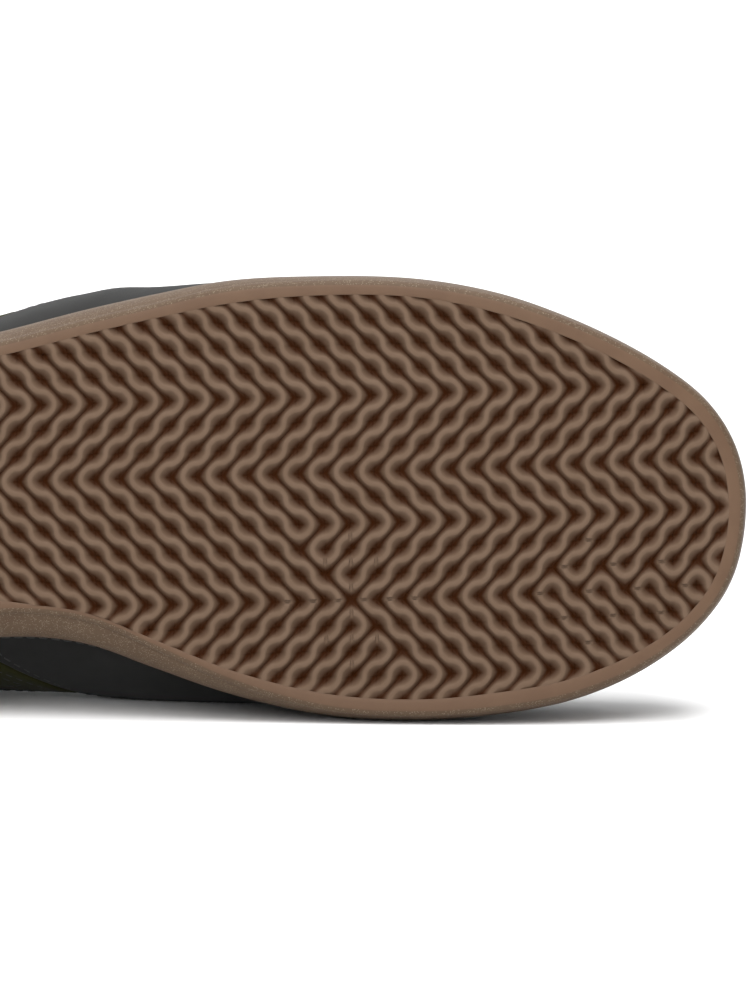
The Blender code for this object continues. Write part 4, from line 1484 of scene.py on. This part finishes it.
@dataclass
class Regions:
    """Where each piece of the upper lies: distances in metres, positive inside, read at upright points.

    The methods that take points give a distance for each of them.
    """

    last: Last
    pad_depth: float = 0.026
    collar_end: float = 0.400
    collar_binding: float = 0.0040
    eyestay_width: float = 0.154 * BALL_WIDTH
    eyestay_end: float = 0.004
    toe_cap_length: float = 0.208 * LENGTH
    toe_cap_bow: float = 0.010
    toe_cap_width: float = 0.7
    counter_foot: float = 0.315
    counter_foot_height: float = 0.9
    counter_set_back: float = 0.016
    quarter_front: float = 0.665
    quarter_lean: float = 0.045
    tongue_width: float = 0.509 * BALL_WIDTH
    tongue_rise: float = 0.114 * LENGTH
    tongue_hold: float = 0.008
    tongue_corner: float = 0.45
    tongue_taper: float = 0.72
    joint: float = 0.0004
    counter_turn: tuple[float, float] = (-0.02, 0.01)
    quarter_top: float = 0.1
    over_wall: float = 1.4
    pad_gap: float = 0.0006
    throat_turns: int = 33
    corner_turns: int = 17

    def under_line(self, line: Callable[[np.ndarray], np.ndarray], points: np.ndarray) -> np.ndarray:
        """Distance below a line in side view.

        Args:
            line: The line's height against x.
            points: Upright points.

        Returns:
            A distance for each point.
        """
        x = points[:, 0]
        step = 1e-4
        slope = (line(x + step) - line(x - step)) / (2 * step)
        return (line(x) - points[:, 2]) / np.sqrt(1 + slope * slope)

    def collar(self, points: np.ndarray) -> np.ndarray:
        """Below the collar's edge; in front of the throat nothing is cut."""
        front = COLLAR_LINE[-1][0] * self.last.length
        return np.where(points[:, 0] < front, self.under_line(self.last.collar, points), FAR_AWAY)

    def throat_outline(self, widen: float, beyond: float) -> np.ndarray:
        """The throat in plan view: a slot with a round front end.

        Args:
            widen: How much wider it is made all round.
            beyond: How much longer it is made at the back.

        Returns:
            The corners of its outline.
        """
        last = self.last
        half = last.throat_width / 2 + widen
        tip = last.throat_front + widen
        back = last.throat_front - last.throat_length - beyond
        reach = half * last.throat_round
        turns = np.linspace(0, math.pi, self.throat_turns)
        end = [(tip - reach + reach * math.sin(a), half * math.cos(a)) for a in turns]
        wide = half + last.throat_spread * (tip - reach - back)
        return np.array([(back, wide), *end, (back, -wide)])

    def throat(self, points: np.ndarray) -> np.ndarray:
        """Outside the throat."""
        cut_out = outline_distance(points[:, :2], self.throat_outline(0, self.last.throat_length))
        return np.where(points[:, 2] > self.last.side_wall, -cut_out, FAR_AWAY)

    def upper(self, points: np.ndarray) -> np.ndarray:
        """The upper itself."""
        return np.minimum(self.collar(points), self.throat(points))

    def above_lip(self, points: np.ndarray) -> np.ndarray:
        """Above the cup's edge."""
        return points[:, 2] - self.last.lip(points[:, 0]) - self.joint

    def in_eyestay(self, points: np.ndarray) -> np.ndarray:
        """Inside the eyestay's outer line."""
        inside = outline_distance(points[:, :2], self.throat_outline(self.eyestay_width, self.eyestay_end))
        return np.where(points[:, 2] > self.last.side_wall * self.over_wall, inside, -FAR_AWAY)

    def eyestay(self, points: np.ndarray) -> np.ndarray:
        """The overlay round the throat."""
        return np.minimum(self.in_eyestay(points), self.upper(points))

    def toe_cap(self, points: np.ndarray) -> np.ndarray:
        """The overlay on the toe, with a bowed rear edge.

        Args:
            points: Upright points.

        Returns:
            A distance for each point.
        """
        wide = self.last.ball_width * self.toe_cap_width
        bow = self.toe_cap_bow * (1 - (points[:, 1] / wide) ** 2)
        rear = self.last.length - self.toe_cap_length + bow
        return np.minimum(points[:, 0] - rear, self.above_lip(points))

    def in_counter(self, points: np.ndarray) -> np.ndarray:
        """Inside the heel overlay's edges; its front slants up from the sole to a tip.

        Args:
            points: Upright points.

        Returns:
            A distance for each; the front lies further back on the lateral side.
        """
        last = self.last
        back = self.counter_set_back * (1 - smooth_step(points[:, 1], *self.counter_turn))
        foot = np.array([self.counter_foot * last.length, self.counter_foot_height * last.side_wall])
        tip = np.array(COUNTER_EDGE[-1]) * (last.length, last.heel_height)
        slant = (tip - foot) / math.hypot(*(tip - foot))
        ahead = points[:, 0] + back - foot[0]
        inside = (points[:, 2] - foot[1]) * slant[0] - ahead * slant[1]
        front = np.maximum(inside, -ahead)
        return np.minimum(self.under_line(last.counter, points), front)

    def counter(self, points: np.ndarray) -> np.ndarray:
        """The heel overlay."""
        return np.minimum(self.in_counter(points), self.above_lip(points))

    def quarter(self, side: Side) -> Callable[[np.ndarray], np.ndarray]:
        """One side overlay, from the sole up to collar and eyestay.

        Args:
            side: The side it lies on.

        Returns:
            A function that gives the distance inside it.
        """
        last = self.last
        low = self.quarter_front * last.length
        rise = self.quarter_top - last.side_wall
        size = math.hypot(rise, self.quarter_lean)

        def read(points: np.ndarray) -> np.ndarray:
            """Distance inside the overlay.

            Args:
                points: Upright points.

            Returns:
                A distance for each point.
            """
            lean = (points[:, 2] - last.side_wall) * self.quarter_lean
            front = ((low - points[:, 0]) * rise - lean) / size
            return np.minimum.reduce(
                [
                    front,
                    side.value * points[:, 1] - self.joint,
                    self.above_lip(points),
                    -self.in_counter(points) - self.joint,
                    -self.in_eyestay(points) - self.joint,
                    self.collar(points) - self.collar_binding,
                ]
            )

        return read

    def tongue_outline(self, widen: float) -> np.ndarray:
        """The tongue in plan view, with round corners at its upper end.

        Args:
            widen: How much larger it is made all round.

        Returns:
            The corners of its outline.
        """
        last = self.last
        front = last.throat_front + self.tongue_hold + widen
        back = last.throat_front - last.throat_length - self.tongue_rise - widen
        half = self.tongue_width / 2 + widen
        corner = half * self.tongue_corner
        turns = np.linspace(0, math.pi / 2, self.corner_turns)
        left = [(back + corner * (1 - math.sin(a)), half - corner * (1 - math.cos(a))) for a in turns]
        right = [(x, -y) for x, y in left[::-1]]
        foot = half * self.tongue_taper
        return np.array([(front, -foot), (front, foot), *left, *right])

    def tongue(self, points: np.ndarray) -> np.ndarray:
        """The tongue."""
        inside = outline_distance(points[:, :2], self.tongue_outline(0))
        return np.where(points[:, 2] > self.last.side_wall * self.over_wall, inside, -FAR_AWAY)

    def collar_pad(self, points: np.ndarray) -> np.ndarray:
        """The padded band below the collar's edge, up to the tongue.

        Args:
            points: Upright points.

        Returns:
            A distance for each point.
        """
        edge = self.collar(points)
        aside = -outline_distance(points[:, :2], self.tongue_outline(self.pad_gap))
        end = self.collar_end * self.last.length - points[:, 0]
        return np.minimum.reduce([edge, self.pad_depth - edge, aside, end])


def polyline_distance(points: np.ndarray, run: np.ndarray) -> np.ndarray:
    """Distance of plane points from an open line.

    Args:
        points: Plane points.
        run: The line's corners.

    Returns:
        A distance for each point.
    """
    step = np.diff(run, axis=0)
    away = points[:, None, :] - run[None, :-1]
    t = np.clip(np.sum(away * step, axis=2) / np.sum(step * step, axis=1), 0, 1)
    return np.sqrt(np.sum((away - t[:, :, None] * step) ** 2, axis=2)).min(axis=1)


def crease_relief(points: np.ndarray) -> np.ndarray:
    """How far the creases push the upper in or out: a trough with a low ridge on either side.

    Args:
        points: Upright points.

    Returns:
        A height for each point, outward.
    """
    relief = np.zeros(len(points))
    for crease in CREASES:
        gap = polyline_distance(points[:, :2], np.array(crease.run)) / crease.width
        ridge = RIDGE_HEIGHT * np.exp(-((gap - RIDGE_PLACE) ** 2))
        relief -= crease.depth * (np.exp(-gap * gap) - ridge)
    return relief * smooth_step(points[:, 2], *CREASE_START)


@dataclass
class Sheet:
    """A piece of the skin inside a region: points with normals, triangles and the distance from its edge.

    It is cut along the region's edge and along lines at `steps` inside it, so that the edge can be rounded.
    """

    form: Form
    region: Callable[[np.ndarray], np.ndarray]
    steps: tuple[float, ...] = (0.0, 0.00018, 0.0005, 0.001)
    margin: float = 0.002

    def __post_init__(self) -> None:
        """Cuts the piece out of the skin."""
        values = np.hstack([self.form.points, self.form.normals])
        faces = self.form.faces
        measure = self.region(values[:, :3])
        near = measure[faces].max(axis=1) > -self.margin
        used, numbered = np.unique(faces[near], return_inverse=True)
        values, faces, measure = values[used], numbered.reshape(-1, 3), measure[used]
        for level in self.steps:
            shifted = measure - level
            shifted[np.abs(shifted) < SNAP] = 0.0
            values, faces, shifted = cut(values, faces, shifted)
            measure = shifted + level
            if level == self.steps[0]:
                values, faces, measure = keep_inside(values, faces, measure)
        self.points = values[:, :3]
        self.normals = unit(values[:, 3:])
        self.faces = faces
        self.inside = np.maximum(measure, 0.0)

    def rounded(self, roll: float) -> np.ndarray:
        """A share that rises from 0 at the edge to 1 at `roll` inside it, as a quarter round."""
        near = 1 - np.clip(self.inside / roll, 0, 1)
        return np.sqrt(np.maximum(1 - near * near, 0))

    def moved(self, offset: np.ndarray | float) -> np.ndarray:
        """The points moved out along their normals."""
        return self.points + self.normals * np.broadcast_to(offset, len(self.points))[:, None]

    def rim(self, offset: np.ndarray, low: float) -> tuple[np.ndarray, np.ndarray]:
        """The strip down from the sheet's edge.

        Args:
            offset: How far each point of the sheet is moved out along its normal.
            low: The offset of the strip's lower edge.

        Returns:
            Points and triangles.
        """
        edges = open_edges(self.faces)
        edges = edges[(self.inside[edges] < SNAP).all(axis=1)]
        used, numbered = np.unique(edges, return_inverse=True)
        numbered = numbered.reshape(-1, 2)
        top = self.points[used] + self.normals[used] * offset[used][:, None]
        bottom = self.points[used] + self.normals[used] * low
        count = len(used)
        a, b = numbered[:, 0], numbered[:, 1]
        strip = np.concatenate([np.stack([b, a, a + count], -1), np.stack([b, a + count, b + count], -1)])
        return np.vstack([top, bottom]), strip

    def line(self, level: float) -> list[np.ndarray]:
        """The lines that run at one distance inside the edge.

        Args:
            level: The distance.

        Returns:
            For each line its points with their normals.
        """
        measure = self.inside - level
        on_line = 1e-7
        measure[np.abs(measure) < on_line] = on_line
        side = measure[self.faces] > 0
        count = side.sum(axis=1)
        mixed = (count == 1) | (count == 2)
        places: dict[tuple[int, int], np.ndarray] = {}
        joined: dict[tuple[int, int], list[tuple[int, int]]] = {}
        data = np.hstack([self.points, self.normals])
        for face, inside in zip(self.faces[mixed].tolist(), side[mixed].tolist()):
            ends = []
            for i in range(3):
                j = (i + 1) % 3
                if inside[i] == inside[j]:
                    continue
                key = (min(face[i], face[j]), max(face[i], face[j]))
                if key not in places:
                    t = measure[key[0]] / (measure[key[0]] - measure[key[1]])
                    places[key] = data[key[0]] + (data[key[1]] - data[key[0]]) * t
                ends.append(key)
            joined.setdefault(ends[0], []).append(ends[1])
            joined.setdefault(ends[1], []).append(ends[0])
        return [np.array([places[key] for key in run]) for run in chains(joined)]


def chains(joined: dict) -> list[list]:
    """Puts linked keys in order: open runs from their ends first, then closed ones.

    Args:
        joined: For each key the keys that it is linked to.

    Returns:
        The runs; a closed one ends with its first key.
    """
    left = {key: list(links) for key, links in joined.items()}
    starts = [key for key, links in left.items() if len(links) == 1] + list(left)
    runs = []
    seen = set()
    for start in starts:
        if start in seen:
            continue
        run = [start]
        seen.add(start)
        while True:
            following = [key for key in left[run[-1]] if key not in seen]
            if not following:
                break
            run.append(following[0])
            seen.add(following[0])
        if len(run) > 2:
            closed = run[0] in left[run[-1]]
            runs.append([*run, run[0]] if closed else run)
    return runs


def resampled(run: np.ndarray, pitch: float) -> np.ndarray:
    """Even places along a line.

    Args:
        run: The line's points, with what each carries.
        pitch: About how far apart the places lie.

    Returns:
        The places, with what the line carries there.
    """
    steps = np.linalg.norm(np.diff(run[:, :3], axis=0), axis=1)
    along = np.concatenate([[0.0], np.cumsum(steps)])
    count = max(2, int(along[-1] / pitch) + 1)
    places = np.linspace(0, along[-1], count)
    return np.column_stack([np.interp(places, along, run[:, i]) for i in range(run.shape[1])])


# The rounded end of a tube: the size of each ring, and how far out it lies in half heights
TUBE_END = ((0.75, 0.6), (0.0, 0.95))


def tube(
    run: np.ndarray, normals: np.ndarray, wide: float, high: float, sides: int = 12
) -> tuple[np.ndarray, np.ndarray]:
    """An oval tube along a line, with rounded ends.

    Args:
        run: Points of the line.
        normals: The direction of the tube's height at each point.
        wide: Half width.
        high: Half height.
        sides: Points round the tube.

    Returns:
        Points and triangles.
    """
    along = unit(np.gradient(run, axis=0))
    aside = unit(np.cross(normals, along))
    up = np.cross(along, aside)
    turns = np.linspace(0, 2 * math.pi, sides, endpoint=False)[None, :, None]
    shape = wide * np.cos(turns) * aside[:, None] + high * np.sin(turns) * up[:, None]
    rings = run[:, None] + shape
    ends = []
    for end, sign in ((0, -1), (-1, 1)):
        for size, reach in TUBE_END:
            ends.append(run[end] + shape[end] * size + along[end] * sign * high * reach)
    rings = np.concatenate([[ends[1], ends[0]], rings, [ends[2], ends[3]]])
    return rings.reshape(-1, 3), grid_faces(len(rings), sides, True)


@dataclass
class Stitching:
    """Rows of raised stitches on the overlays, each a short thread that is thinner at its ends.

    `profile` gives the thread's thickness along it, and runs under `shortest` get no stitches.
    """

    pitch: float = 0.0032
    length: float = 0.0023
    radius: float = 0.00034
    shortest: float = 0.030
    sunk: float = 0.00016
    sides: int = 6
    profile: tuple[tuple[float, float], ...] = (
        (-0.5, 0.25), (-0.38, 0.85), (0.0, 1.0), (0.38, 0.85), (0.5, 0.25)
    )
    piece: Piece = field(default_factory=lambda: Piece("stitching", "lace"))

    def sew(self, runs: list[np.ndarray], lift: float) -> None:
        """Puts stitches along lines on the skin.

        Args:
            runs: Lines as points with normals.
            lift: How far the stitches' middles stand over the skin.
        """
        turns = np.linspace(0, 2 * math.pi, self.sides, endpoint=False)
        faces = grid_faces(len(self.profile), self.sides, True)
        for run in runs:
            if len(run) < 4:
                continue
            places = resampled(run, self.pitch)
            if len(places) * self.pitch < self.shortest:
                continue
            middles = (places[1:] + places[:-1]) / 2
            along = unit(np.diff(places[:, :3], axis=0))
            up = unit(middles[:, 3:])
            aside = np.cross(up, along)
            centre = middles[:, :3] + up * (lift - self.sunk + crease_relief(middles[:, :3]))[:, None]
            for at, one, two, three in zip(centre, along, aside, up):
                rays = [two * math.cos(a) + three * math.sin(a) for a in turns]
                shape = [
                    at + one * (share * self.length) + ray * self.radius * size
                    for share, size in self.profile
                    for ray in rays
                ]
                self.piece.add(np.array(shape), faces)


@dataclass
class Upper:
    """The soft upper: shell, overlays, padded collar, tongue, binding and seams."""

    last: Last
    wall: float = 0.0022
    overlay: float = 0.0014
    pad: float = 0.0060
    tongue_thickness: float = 0.0062
    binding: float = 0.0019
    seam_inset: float = 0.0022
    seam_gap: float = 0.0022
    edge_roll: float = 0.001
    edge_drop: float = 0.0006
    overlay_edge: float = 0.25
    overlay_sunk: float = 0.0002
    pad_steps: tuple[float, ...] = (0.0, 0.0004, 0.001, 0.002, 0.0035)
    pad_roll: float = 0.008
    binding_inset: float = 0.0011
    binding_over: float = 0.0009
    binding_pitch: float = 0.0025
    binding_fewest: int = 20
    throat_gap: float = 0.0016
    tongue_steps: tuple[float, ...] = (0.0, 0.0003, 0.001, 0.002, 0.004)
    tongue_roll: float = 0.006
    channel_inset: float = 0.009
    channel_width: float = 0.0016
    channel_depth: float = 0.0009
    channel_thread: float = 0.0008

    def __post_init__(self) -> None:
        """Makes the skin that every piece is cut from."""
        self.form = Skin(self.last).build()
        self.regions = Regions(self.last)
        self.stitching = Stitching()

    def build_shell(self, materials: list[bpy.types.Material]) -> None:
        """The shell: its outer face with the creases, its edge and its lining.

        Args:
            materials: The outer material and the lining.
        """
        sheet = Sheet(self.form, self.regions.upper)
        relief = crease_relief(sheet.points)
        outer = relief - self.edge_drop * (1 - sheet.rounded(self.edge_roll))
        piece = Piece("upper_shell", "suede", ("upper",))
        piece.add(sheet.moved(outer), sheet.faces)
        edge, strip = sheet.rim(outer, -self.wall)
        piece.add(edge, strip)
        piece.add(sheet.moved(-self.wall), sheet.faces[:, ::-1], 1)
        piece.build(materials)

    def build_overlay(
        self, name: str, slot: str, region: Callable, seams: int, material: bpy.types.Material
    ) -> None:
        """One overlay with a rolled edge and its seams.

        Args:
            name: The CAD node that it stands for.
            slot: The name of its material slot.
            region: Where it lies.
            seams: How many rows of stitches run inside its edge.
            material: Its material.
        """
        sheet = Sheet(self.form, region)
        rise = self.last.fit + self.overlay
        share = self.overlay_edge + (1 - self.overlay_edge) * sheet.rounded(self.edge_roll)
        offset = crease_relief(sheet.points) + rise * share
        piece = Piece(f"{name}_panel", slot, (name,))
        piece.add(sheet.moved(offset), sheet.faces)
        edge, strip = sheet.rim(offset, -self.overlay_sunk)
        piece.add(edge, strip)
        piece.build([material])
        for row in range(seams):
            self.stitching.sew(sheet.line(self.seam_inset + row * self.seam_gap), rise)

    def build_collar(self, pad_material: bpy.types.Material, binding_material: bpy.types.Material) -> None:
        """The padded lining below the collar's edge, and the binding over the edge.

        Args:
            pad_material: The lining.
            binding_material: The binding's material.
        """
        sheet = Sheet(self.form, self.regions.collar_pad, self.pad_steps)
        piece = Piece("collar_pad", "lining", ("collar",))
        out = -(self.wall + self.last.fit)
        piece.add(sheet.moved(out - self.pad * sheet.rounded(self.pad_roll)), sheet.faces[:, ::-1])
        piece.add(sheet.moved(out), sheet.faces)
        piece.build([pad_material])
        shell = Sheet(self.form, self.regions.upper)
        binding = Piece("collar_binding", "suede", ("collar",))
        for run in shell.line(self.binding_inset):
            run = run[self.regions.throat(run[:, :3]) > self.throat_gap]
            if len(run) < self.binding_fewest:
                continue
            run = resampled(run, self.binding_pitch)
            middle = run[:, :3] - run[:, 3:] * (self.wall / 2)
            points, faces = tube(middle, run[:, 3:], self.binding, self.wall / 2 + self.binding_over)
            binding.add(points, faces)
        binding.build([binding_material])

    def build_tongue(self, material: bpy.types.Material) -> None:
        """The padded tongue, thin at its edges, with a sewn channel along them.

        Args:
            material: The tongue's material.
        """
        sheet = Sheet(self.form, self.regions.tongue, self.tongue_steps)
        half = self.tongue_thickness / 2
        middle = -(self.wall + self.last.fit) - half
        swell = half * sheet.rounded(self.tongue_roll)
        away = (sheet.inside - self.channel_inset) / self.channel_width
        channel = self.channel_depth * np.exp(-(away**2))
        piece = Piece("tongue_pad", "lining", ("tongue",))
        piece.add(sheet.moved(middle + swell - channel), sheet.faces)
        piece.add(sheet.moved(middle - swell), sheet.faces[:, ::-1])
        piece.build([material])
        self.stitching.sew(sheet.line(self.channel_inset), middle + half - self.channel_thread)

    def build(self, effects: Effects) -> None:
        """Builds every piece of the upper.

        Args:
            effects: The shared node groups.
        """
        suede, olive, lining, thread = (finish.build(effects) for finish in (SUEDE, OLIVE, LINING, THREAD))
        regions = self.regions
        self.build_shell([suede, lining])
        self.build_overlay("eyestay", "suede", regions.eyestay, 2, suede)
        self.build_overlay("toe_cap", "suede", regions.toe_cap, 2, suede)
        self.build_overlay("heel_counter", "olive_suede", regions.counter, 2, olive)
        for side in Side:
            self.build_overlay(f"quarter_{side.name.lower()}", "suede", regions.quarter(side), 1, suede)
        self.build_collar(lining, suede)
        self.build_tongue(lining)
        self.stitching.piece.build([thread])


@dataclass
class Lacing:
    """Eyelets and the flat woven lace bars between them."""

    upper: Upper
    pairs: int = 6
    front: float = 0.011
    inset: float = 0.0072
    end: float = 0.007
    radius: float = 0.0036
    hole: float = 0.0020
    thickness: float = 0.0008
    above: float = 0.3
    foot: float = 0.0002
    rise: float = 0.0003
    barrel: float = 0.0010
    curl_turns: int = 9
    ring_turns: int = 28
    lace_width: float = 0.0072
    lace_thickness: float = 0.0014
    lace_places: int = 41
    lace_sides: int = 16
    lace_end: float = 0.90
    lace_taper: float = 0.45

    def __post_init__(self) -> None:
        """Makes a tree of the skin, to find the surface under a place in plan view."""
        form = self.upper.form
        self.tree = BVHTree.FromPolygons(form.points.tolist(), form.faces.tolist())

    def places(self) -> list[tuple[float, float]]:
        """The eyelets in plan view.

        Returns:
            x and the distance from the middle, from the front pair to the top pair.
        """
        last = self.upper.last
        back = last.throat_front - last.throat_length + self.end
        found = []
        for x in np.linspace(last.throat_front - self.front, back, self.pairs):
            edge = last.throat_width / 2 + last.throat_spread * max(0.0, last.throat_front - self.front - x)
            found.append((float(x), edge + self.inset))
        return found

    def surface(self, x: float, y: float) -> tuple[np.ndarray, np.ndarray]:
        """The skin over a point in plan view.

        Args:
            x: The point's place along the shoe.
            y: The point's place across the shoe.

        Returns:
            The place on the skin, and its normal.
        """
        place, normal, _, _ = self.tree.ray_cast(Vector((x, y, self.above)), Vector((0, 0, -1)))
        normal = np.array(normal)
        return np.array(place), normal * np.sign(normal[2])

    def eyelet(self, piece: Piece, x: float, y: float) -> None:
        """One turned metal eyelet, square to the skin, with a closed barrel.

        Args:
            piece: The piece that it is added to.
            x: Its place along the shoe.
            y: Its place across the shoe.
        """
        place, normal = self.surface(x, y)
        base = self.upper.last.fit + self.upper.overlay
        profile = [(self.radius, -self.foot), (self.radius, self.rise)]
        middle = (self.radius + self.hole) / 2
        for turn in np.linspace(0, math.pi, self.curl_turns):
            size = middle + (self.radius - middle) * math.cos(turn)
            profile.append((size, self.rise + self.thickness * math.sin(turn)))
        profile += [(self.hole, -self.barrel), (0.0, -self.barrel)]
        one = unit(np.cross(normal, (1.0, 0.0, 0.0)))
        two = np.cross(normal, one)
        turns = np.linspace(0, 2 * math.pi, self.ring_turns, endpoint=False)[:, None]
        round_it = np.cos(turns) * one + np.sin(turns) * two
        rows = [place + normal * (base + rise) + size * round_it for size, rise in profile]
        piece.add(np.vstack(rows), grid_faces(len(rows), len(turns), True))

    def bar(self, x: float, y: float, number: int, material: bpy.types.Material) -> None:
        """One lace bar: out of one eyelet, over the throat and into the other, with rounded edges.

        Args:
            x: Its place along the shoe.
            y: The distance of its two eyelets from the middle.
            number: Its number, from the toe.
            material: The lace's material.
        """
        base = self.upper.last.fit + self.upper.overlay
        lift = base + self.thickness + 4 * self.upper.last.fit + self.lace_thickness / 2
        run, normals, widths = [], [], []
        for share in np.linspace(-1, 1, self.lace_places):
            place, normal = self.surface(x, share * y)
            near_end = smooth_step(np.array(abs(share)), self.lace_end, 1.0)
            run.append(place + normal * (lift - near_end * (lift - base - self.foot)))
            normals.append(normal)
            widths.append(1 - self.lace_taper * near_end)
        half, rise = self.lace_width / 2, self.lace_thickness / 2
        points, faces = tube(np.array(run), np.array(normals), half, rise, self.lace_sides)
        grid = points.reshape(-1, self.lace_sides, 3)
        spine = grid.mean(axis=1, keepdims=True)
        ends = len(TUBE_END)
        shares = np.concatenate([[widths[0]] * ends, widths, [widths[-1]] * ends])
        grid = spine + (grid - spine) * shares[:, None, None]
        piece = Piece(f"lace_strap_{number}", "lace", (f"lace_bar_{number}",))
        piece.add(grid.reshape(-1, 3), faces)
        piece.build([material])

    def build(self, effects: Effects) -> None:
        """Builds eyelets and bars.

        Args:
            effects: The shared node groups.
        """
        enamel, lace = ENAMEL.build(effects), LACE.build(effects)
        for number, (x, y) in enumerate(self.places(), start=1):
            for side in Side:
                name = f"eyelet_{side.name.lower()}_{number}"
                piece = Piece(f"{name}_ring", "eyelet", (name,))
                self.eyelet(piece, x, side.value * y)
                piece.build([enamel])
            self.bar(x, y, number, lace)


@dataclass
class Footbed:
    """The loose sock liner in the cup."""

    last: Last
    thickness: float = 0.0045
    clearance: float = 0.0008
    wall: float = 0.0022
    places: int = 120
    edge: tuple[tuple[float, float], ...] = ((0.0, 0.0012), (0.0004, 0.0003), (0.0014, 0.0))
    rows: int = 9

    def build(self, material: bpy.types.Material) -> None:
        """A plate with a soft upper edge.

        Args:
            material: Its material.
        """
        ring = Ring(self.last, self.places)
        inset = self.last.cup_wall + self.last.fit + self.wall + self.clearance
        low = self.last.fit
        steps = [(0.0, low)] + [(more, low + self.thickness - drop) for more, drop in self.edge]
        rings = []
        for more, rise in steps:
            rings.append(ring.at(inset + more, lambda x, rise=rise: self.last.floor(x) + rise))
        piece = Piece("footbed", "insole", ("insole",))
        piece.add(np.vstack(rings), grid_faces(len(rings), len(ring.ways), True))
        for edge, order in ((rings[-1], 1), (rings[0], -1)):
            points, faces = filled(ring, edge, self.rows)
            piece.add(points, faces[:, ::order])
        piece.build([material])


# Studio


@dataclass(frozen=True)
class SoftLight:
    """One square soft light: where it stands, its side, its power and what it looks at."""

    name: str
    place: tuple[float, float, float]
    side: float
    watts: float
    aim: tuple[float, float, float]


SOFT_LIGHTS = (
    SoftLight("top_light", (0.15, -0.6, 1.0), 0.8, 13.0, (0.0, 0.0, 0.05)),
    SoftLight("front_light", (-0.3, -1.6, 0.8), 1.0, 15.0, (0.0, 0.0, 0.05)),
    SoftLight("wall_light", (0.0, 0.4, 2.0), 1.6, 40.0, (0.0, 1.3, 0.6)),
)


@dataclass
class Studio:
    """Camera, pale floor and soft lights; `target` is the upright point that the camera looks at."""

    target: tuple[float, float, float] = (0.205, 0.0006, 0.0)
    distance: float = 1.05
    view_height: float = 0.2462
    roll: float = 0.536
    sensor: float = 24.0
    nearest: float = 0.01
    surroundings: float = 0.42
    floor_half: float = 3.0
    floor_front: float = -2.0
    floor_back: float = 0.9
    wall_round: float = 0.5
    wall_start: float = 0.1
    wall_turns: int = 12
    wall_top: float = 3.0

    def add_camera(self) -> None:
        """The camera looks square onto the sole, with the photo's crop."""
        aim = LYING @ Vector(self.target)
        out = LYING.to_3x3() @ Vector((0, 0, -1))
        lens = bpy.data.cameras.new("camera")
        lens.sensor_fit = "VERTICAL"
        lens.sensor_height = self.sensor
        lens.lens = self.sensor * self.distance / self.view_height
        lens.clip_start = self.nearest
        camera = bpy.data.objects.new("camera", lens)
        turn = (-out).to_track_quat("-Z", "Y").to_matrix().to_4x4()
        roll = Matrix.Rotation(math.radians(self.roll), 4, "Z")
        camera.matrix_world = Matrix.Translation(aim + out * self.distance) @ turn @ roll
        bpy.context.scene.collection.objects.link(camera)
        bpy.context.scene.camera = camera

    def add_floor(self, material: bpy.types.Material) -> None:
        """A floor that curves up into a wall behind the shoe.

        Args:
            material: The floor's material.
        """
        back, bend = self.floor_back, self.wall_round
        turns = np.linspace(self.wall_start, math.pi / 2, self.wall_turns)
        profile = [(self.floor_front, 0.0), (back, 0.0)]
        profile += [(back + bend * math.sin(a), bend - bend * math.cos(a)) for a in turns]
        profile.append((back + bend, self.wall_top))
        points = [(x, y, z) for y, z in profile for x in (-self.floor_half, self.floor_half)]
        faces = [(2 * i, 2 * i + 1, 2 * i + 3, 2 * i + 2) for i in range(len(profile) - 1)]
        mesh = bpy.data.meshes.new("studio_floor")
        mesh.from_pydata(points, [], faces)
        mesh.materials.append(material)
        mesh.shade_smooth()
        floor = bpy.data.objects.new("studio_floor", mesh)
        bpy.context.scene.collection.objects.link(floor)

    def add_light(self, light: SoftLight) -> None:
        """Sets up one light.

        Args:
            light: Its sizes.
        """
        lamp = bpy.data.lights.new(light.name, "AREA")
        lamp.size = light.side
        lamp.energy = light.watts
        obj = bpy.data.objects.new(light.name, lamp)
        obj.location = light.place
        obj.rotation_euler = (Vector(light.aim) - Vector(light.place)).to_track_quat("-Z", "Y").to_euler()
        bpy.context.scene.collection.objects.link(obj)

    def build(self, material: bpy.types.Material) -> None:
        """Sets up camera, floor, lights and the pale surroundings.

        Args:
            material: The floor's material.
        """
        self.add_camera()
        self.add_floor(material)
        for light in SOFT_LIGHTS:
            self.add_light(light)
        world = bpy.data.worlds.new("studio")
        world.use_nodes = True
        background = world.node_tree.nodes["Background"]
        background.inputs["Color"].default_value = (1, 1, 1, 1)
        background.inputs["Strength"].default_value = self.surroundings
        bpy.context.scene.world = world
        bpy.context.scene.view_settings.view_transform = "Standard"


def main() -> None:
    """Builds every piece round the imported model, then the studio."""
    logging.basicConfig(level=logging.INFO, format="%(name)s: %(message)s")
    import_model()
    effects = Effects()
    last = Last()
    gum = [finish.build(effects) for finish in (GUM_TREAD, GUM_BAND, GUM_WALL)]
    Outsole(last).build(gum)
    upper = Upper(last)
    upper.build(effects)
    Lacing(upper).build(effects)
    Footbed(last).build(FOOTBED.build(effects))
    Studio().build(STUDIO.build(effects))
    bpy.context.view_layer.update()


if __name__ == "__main__":
    main()
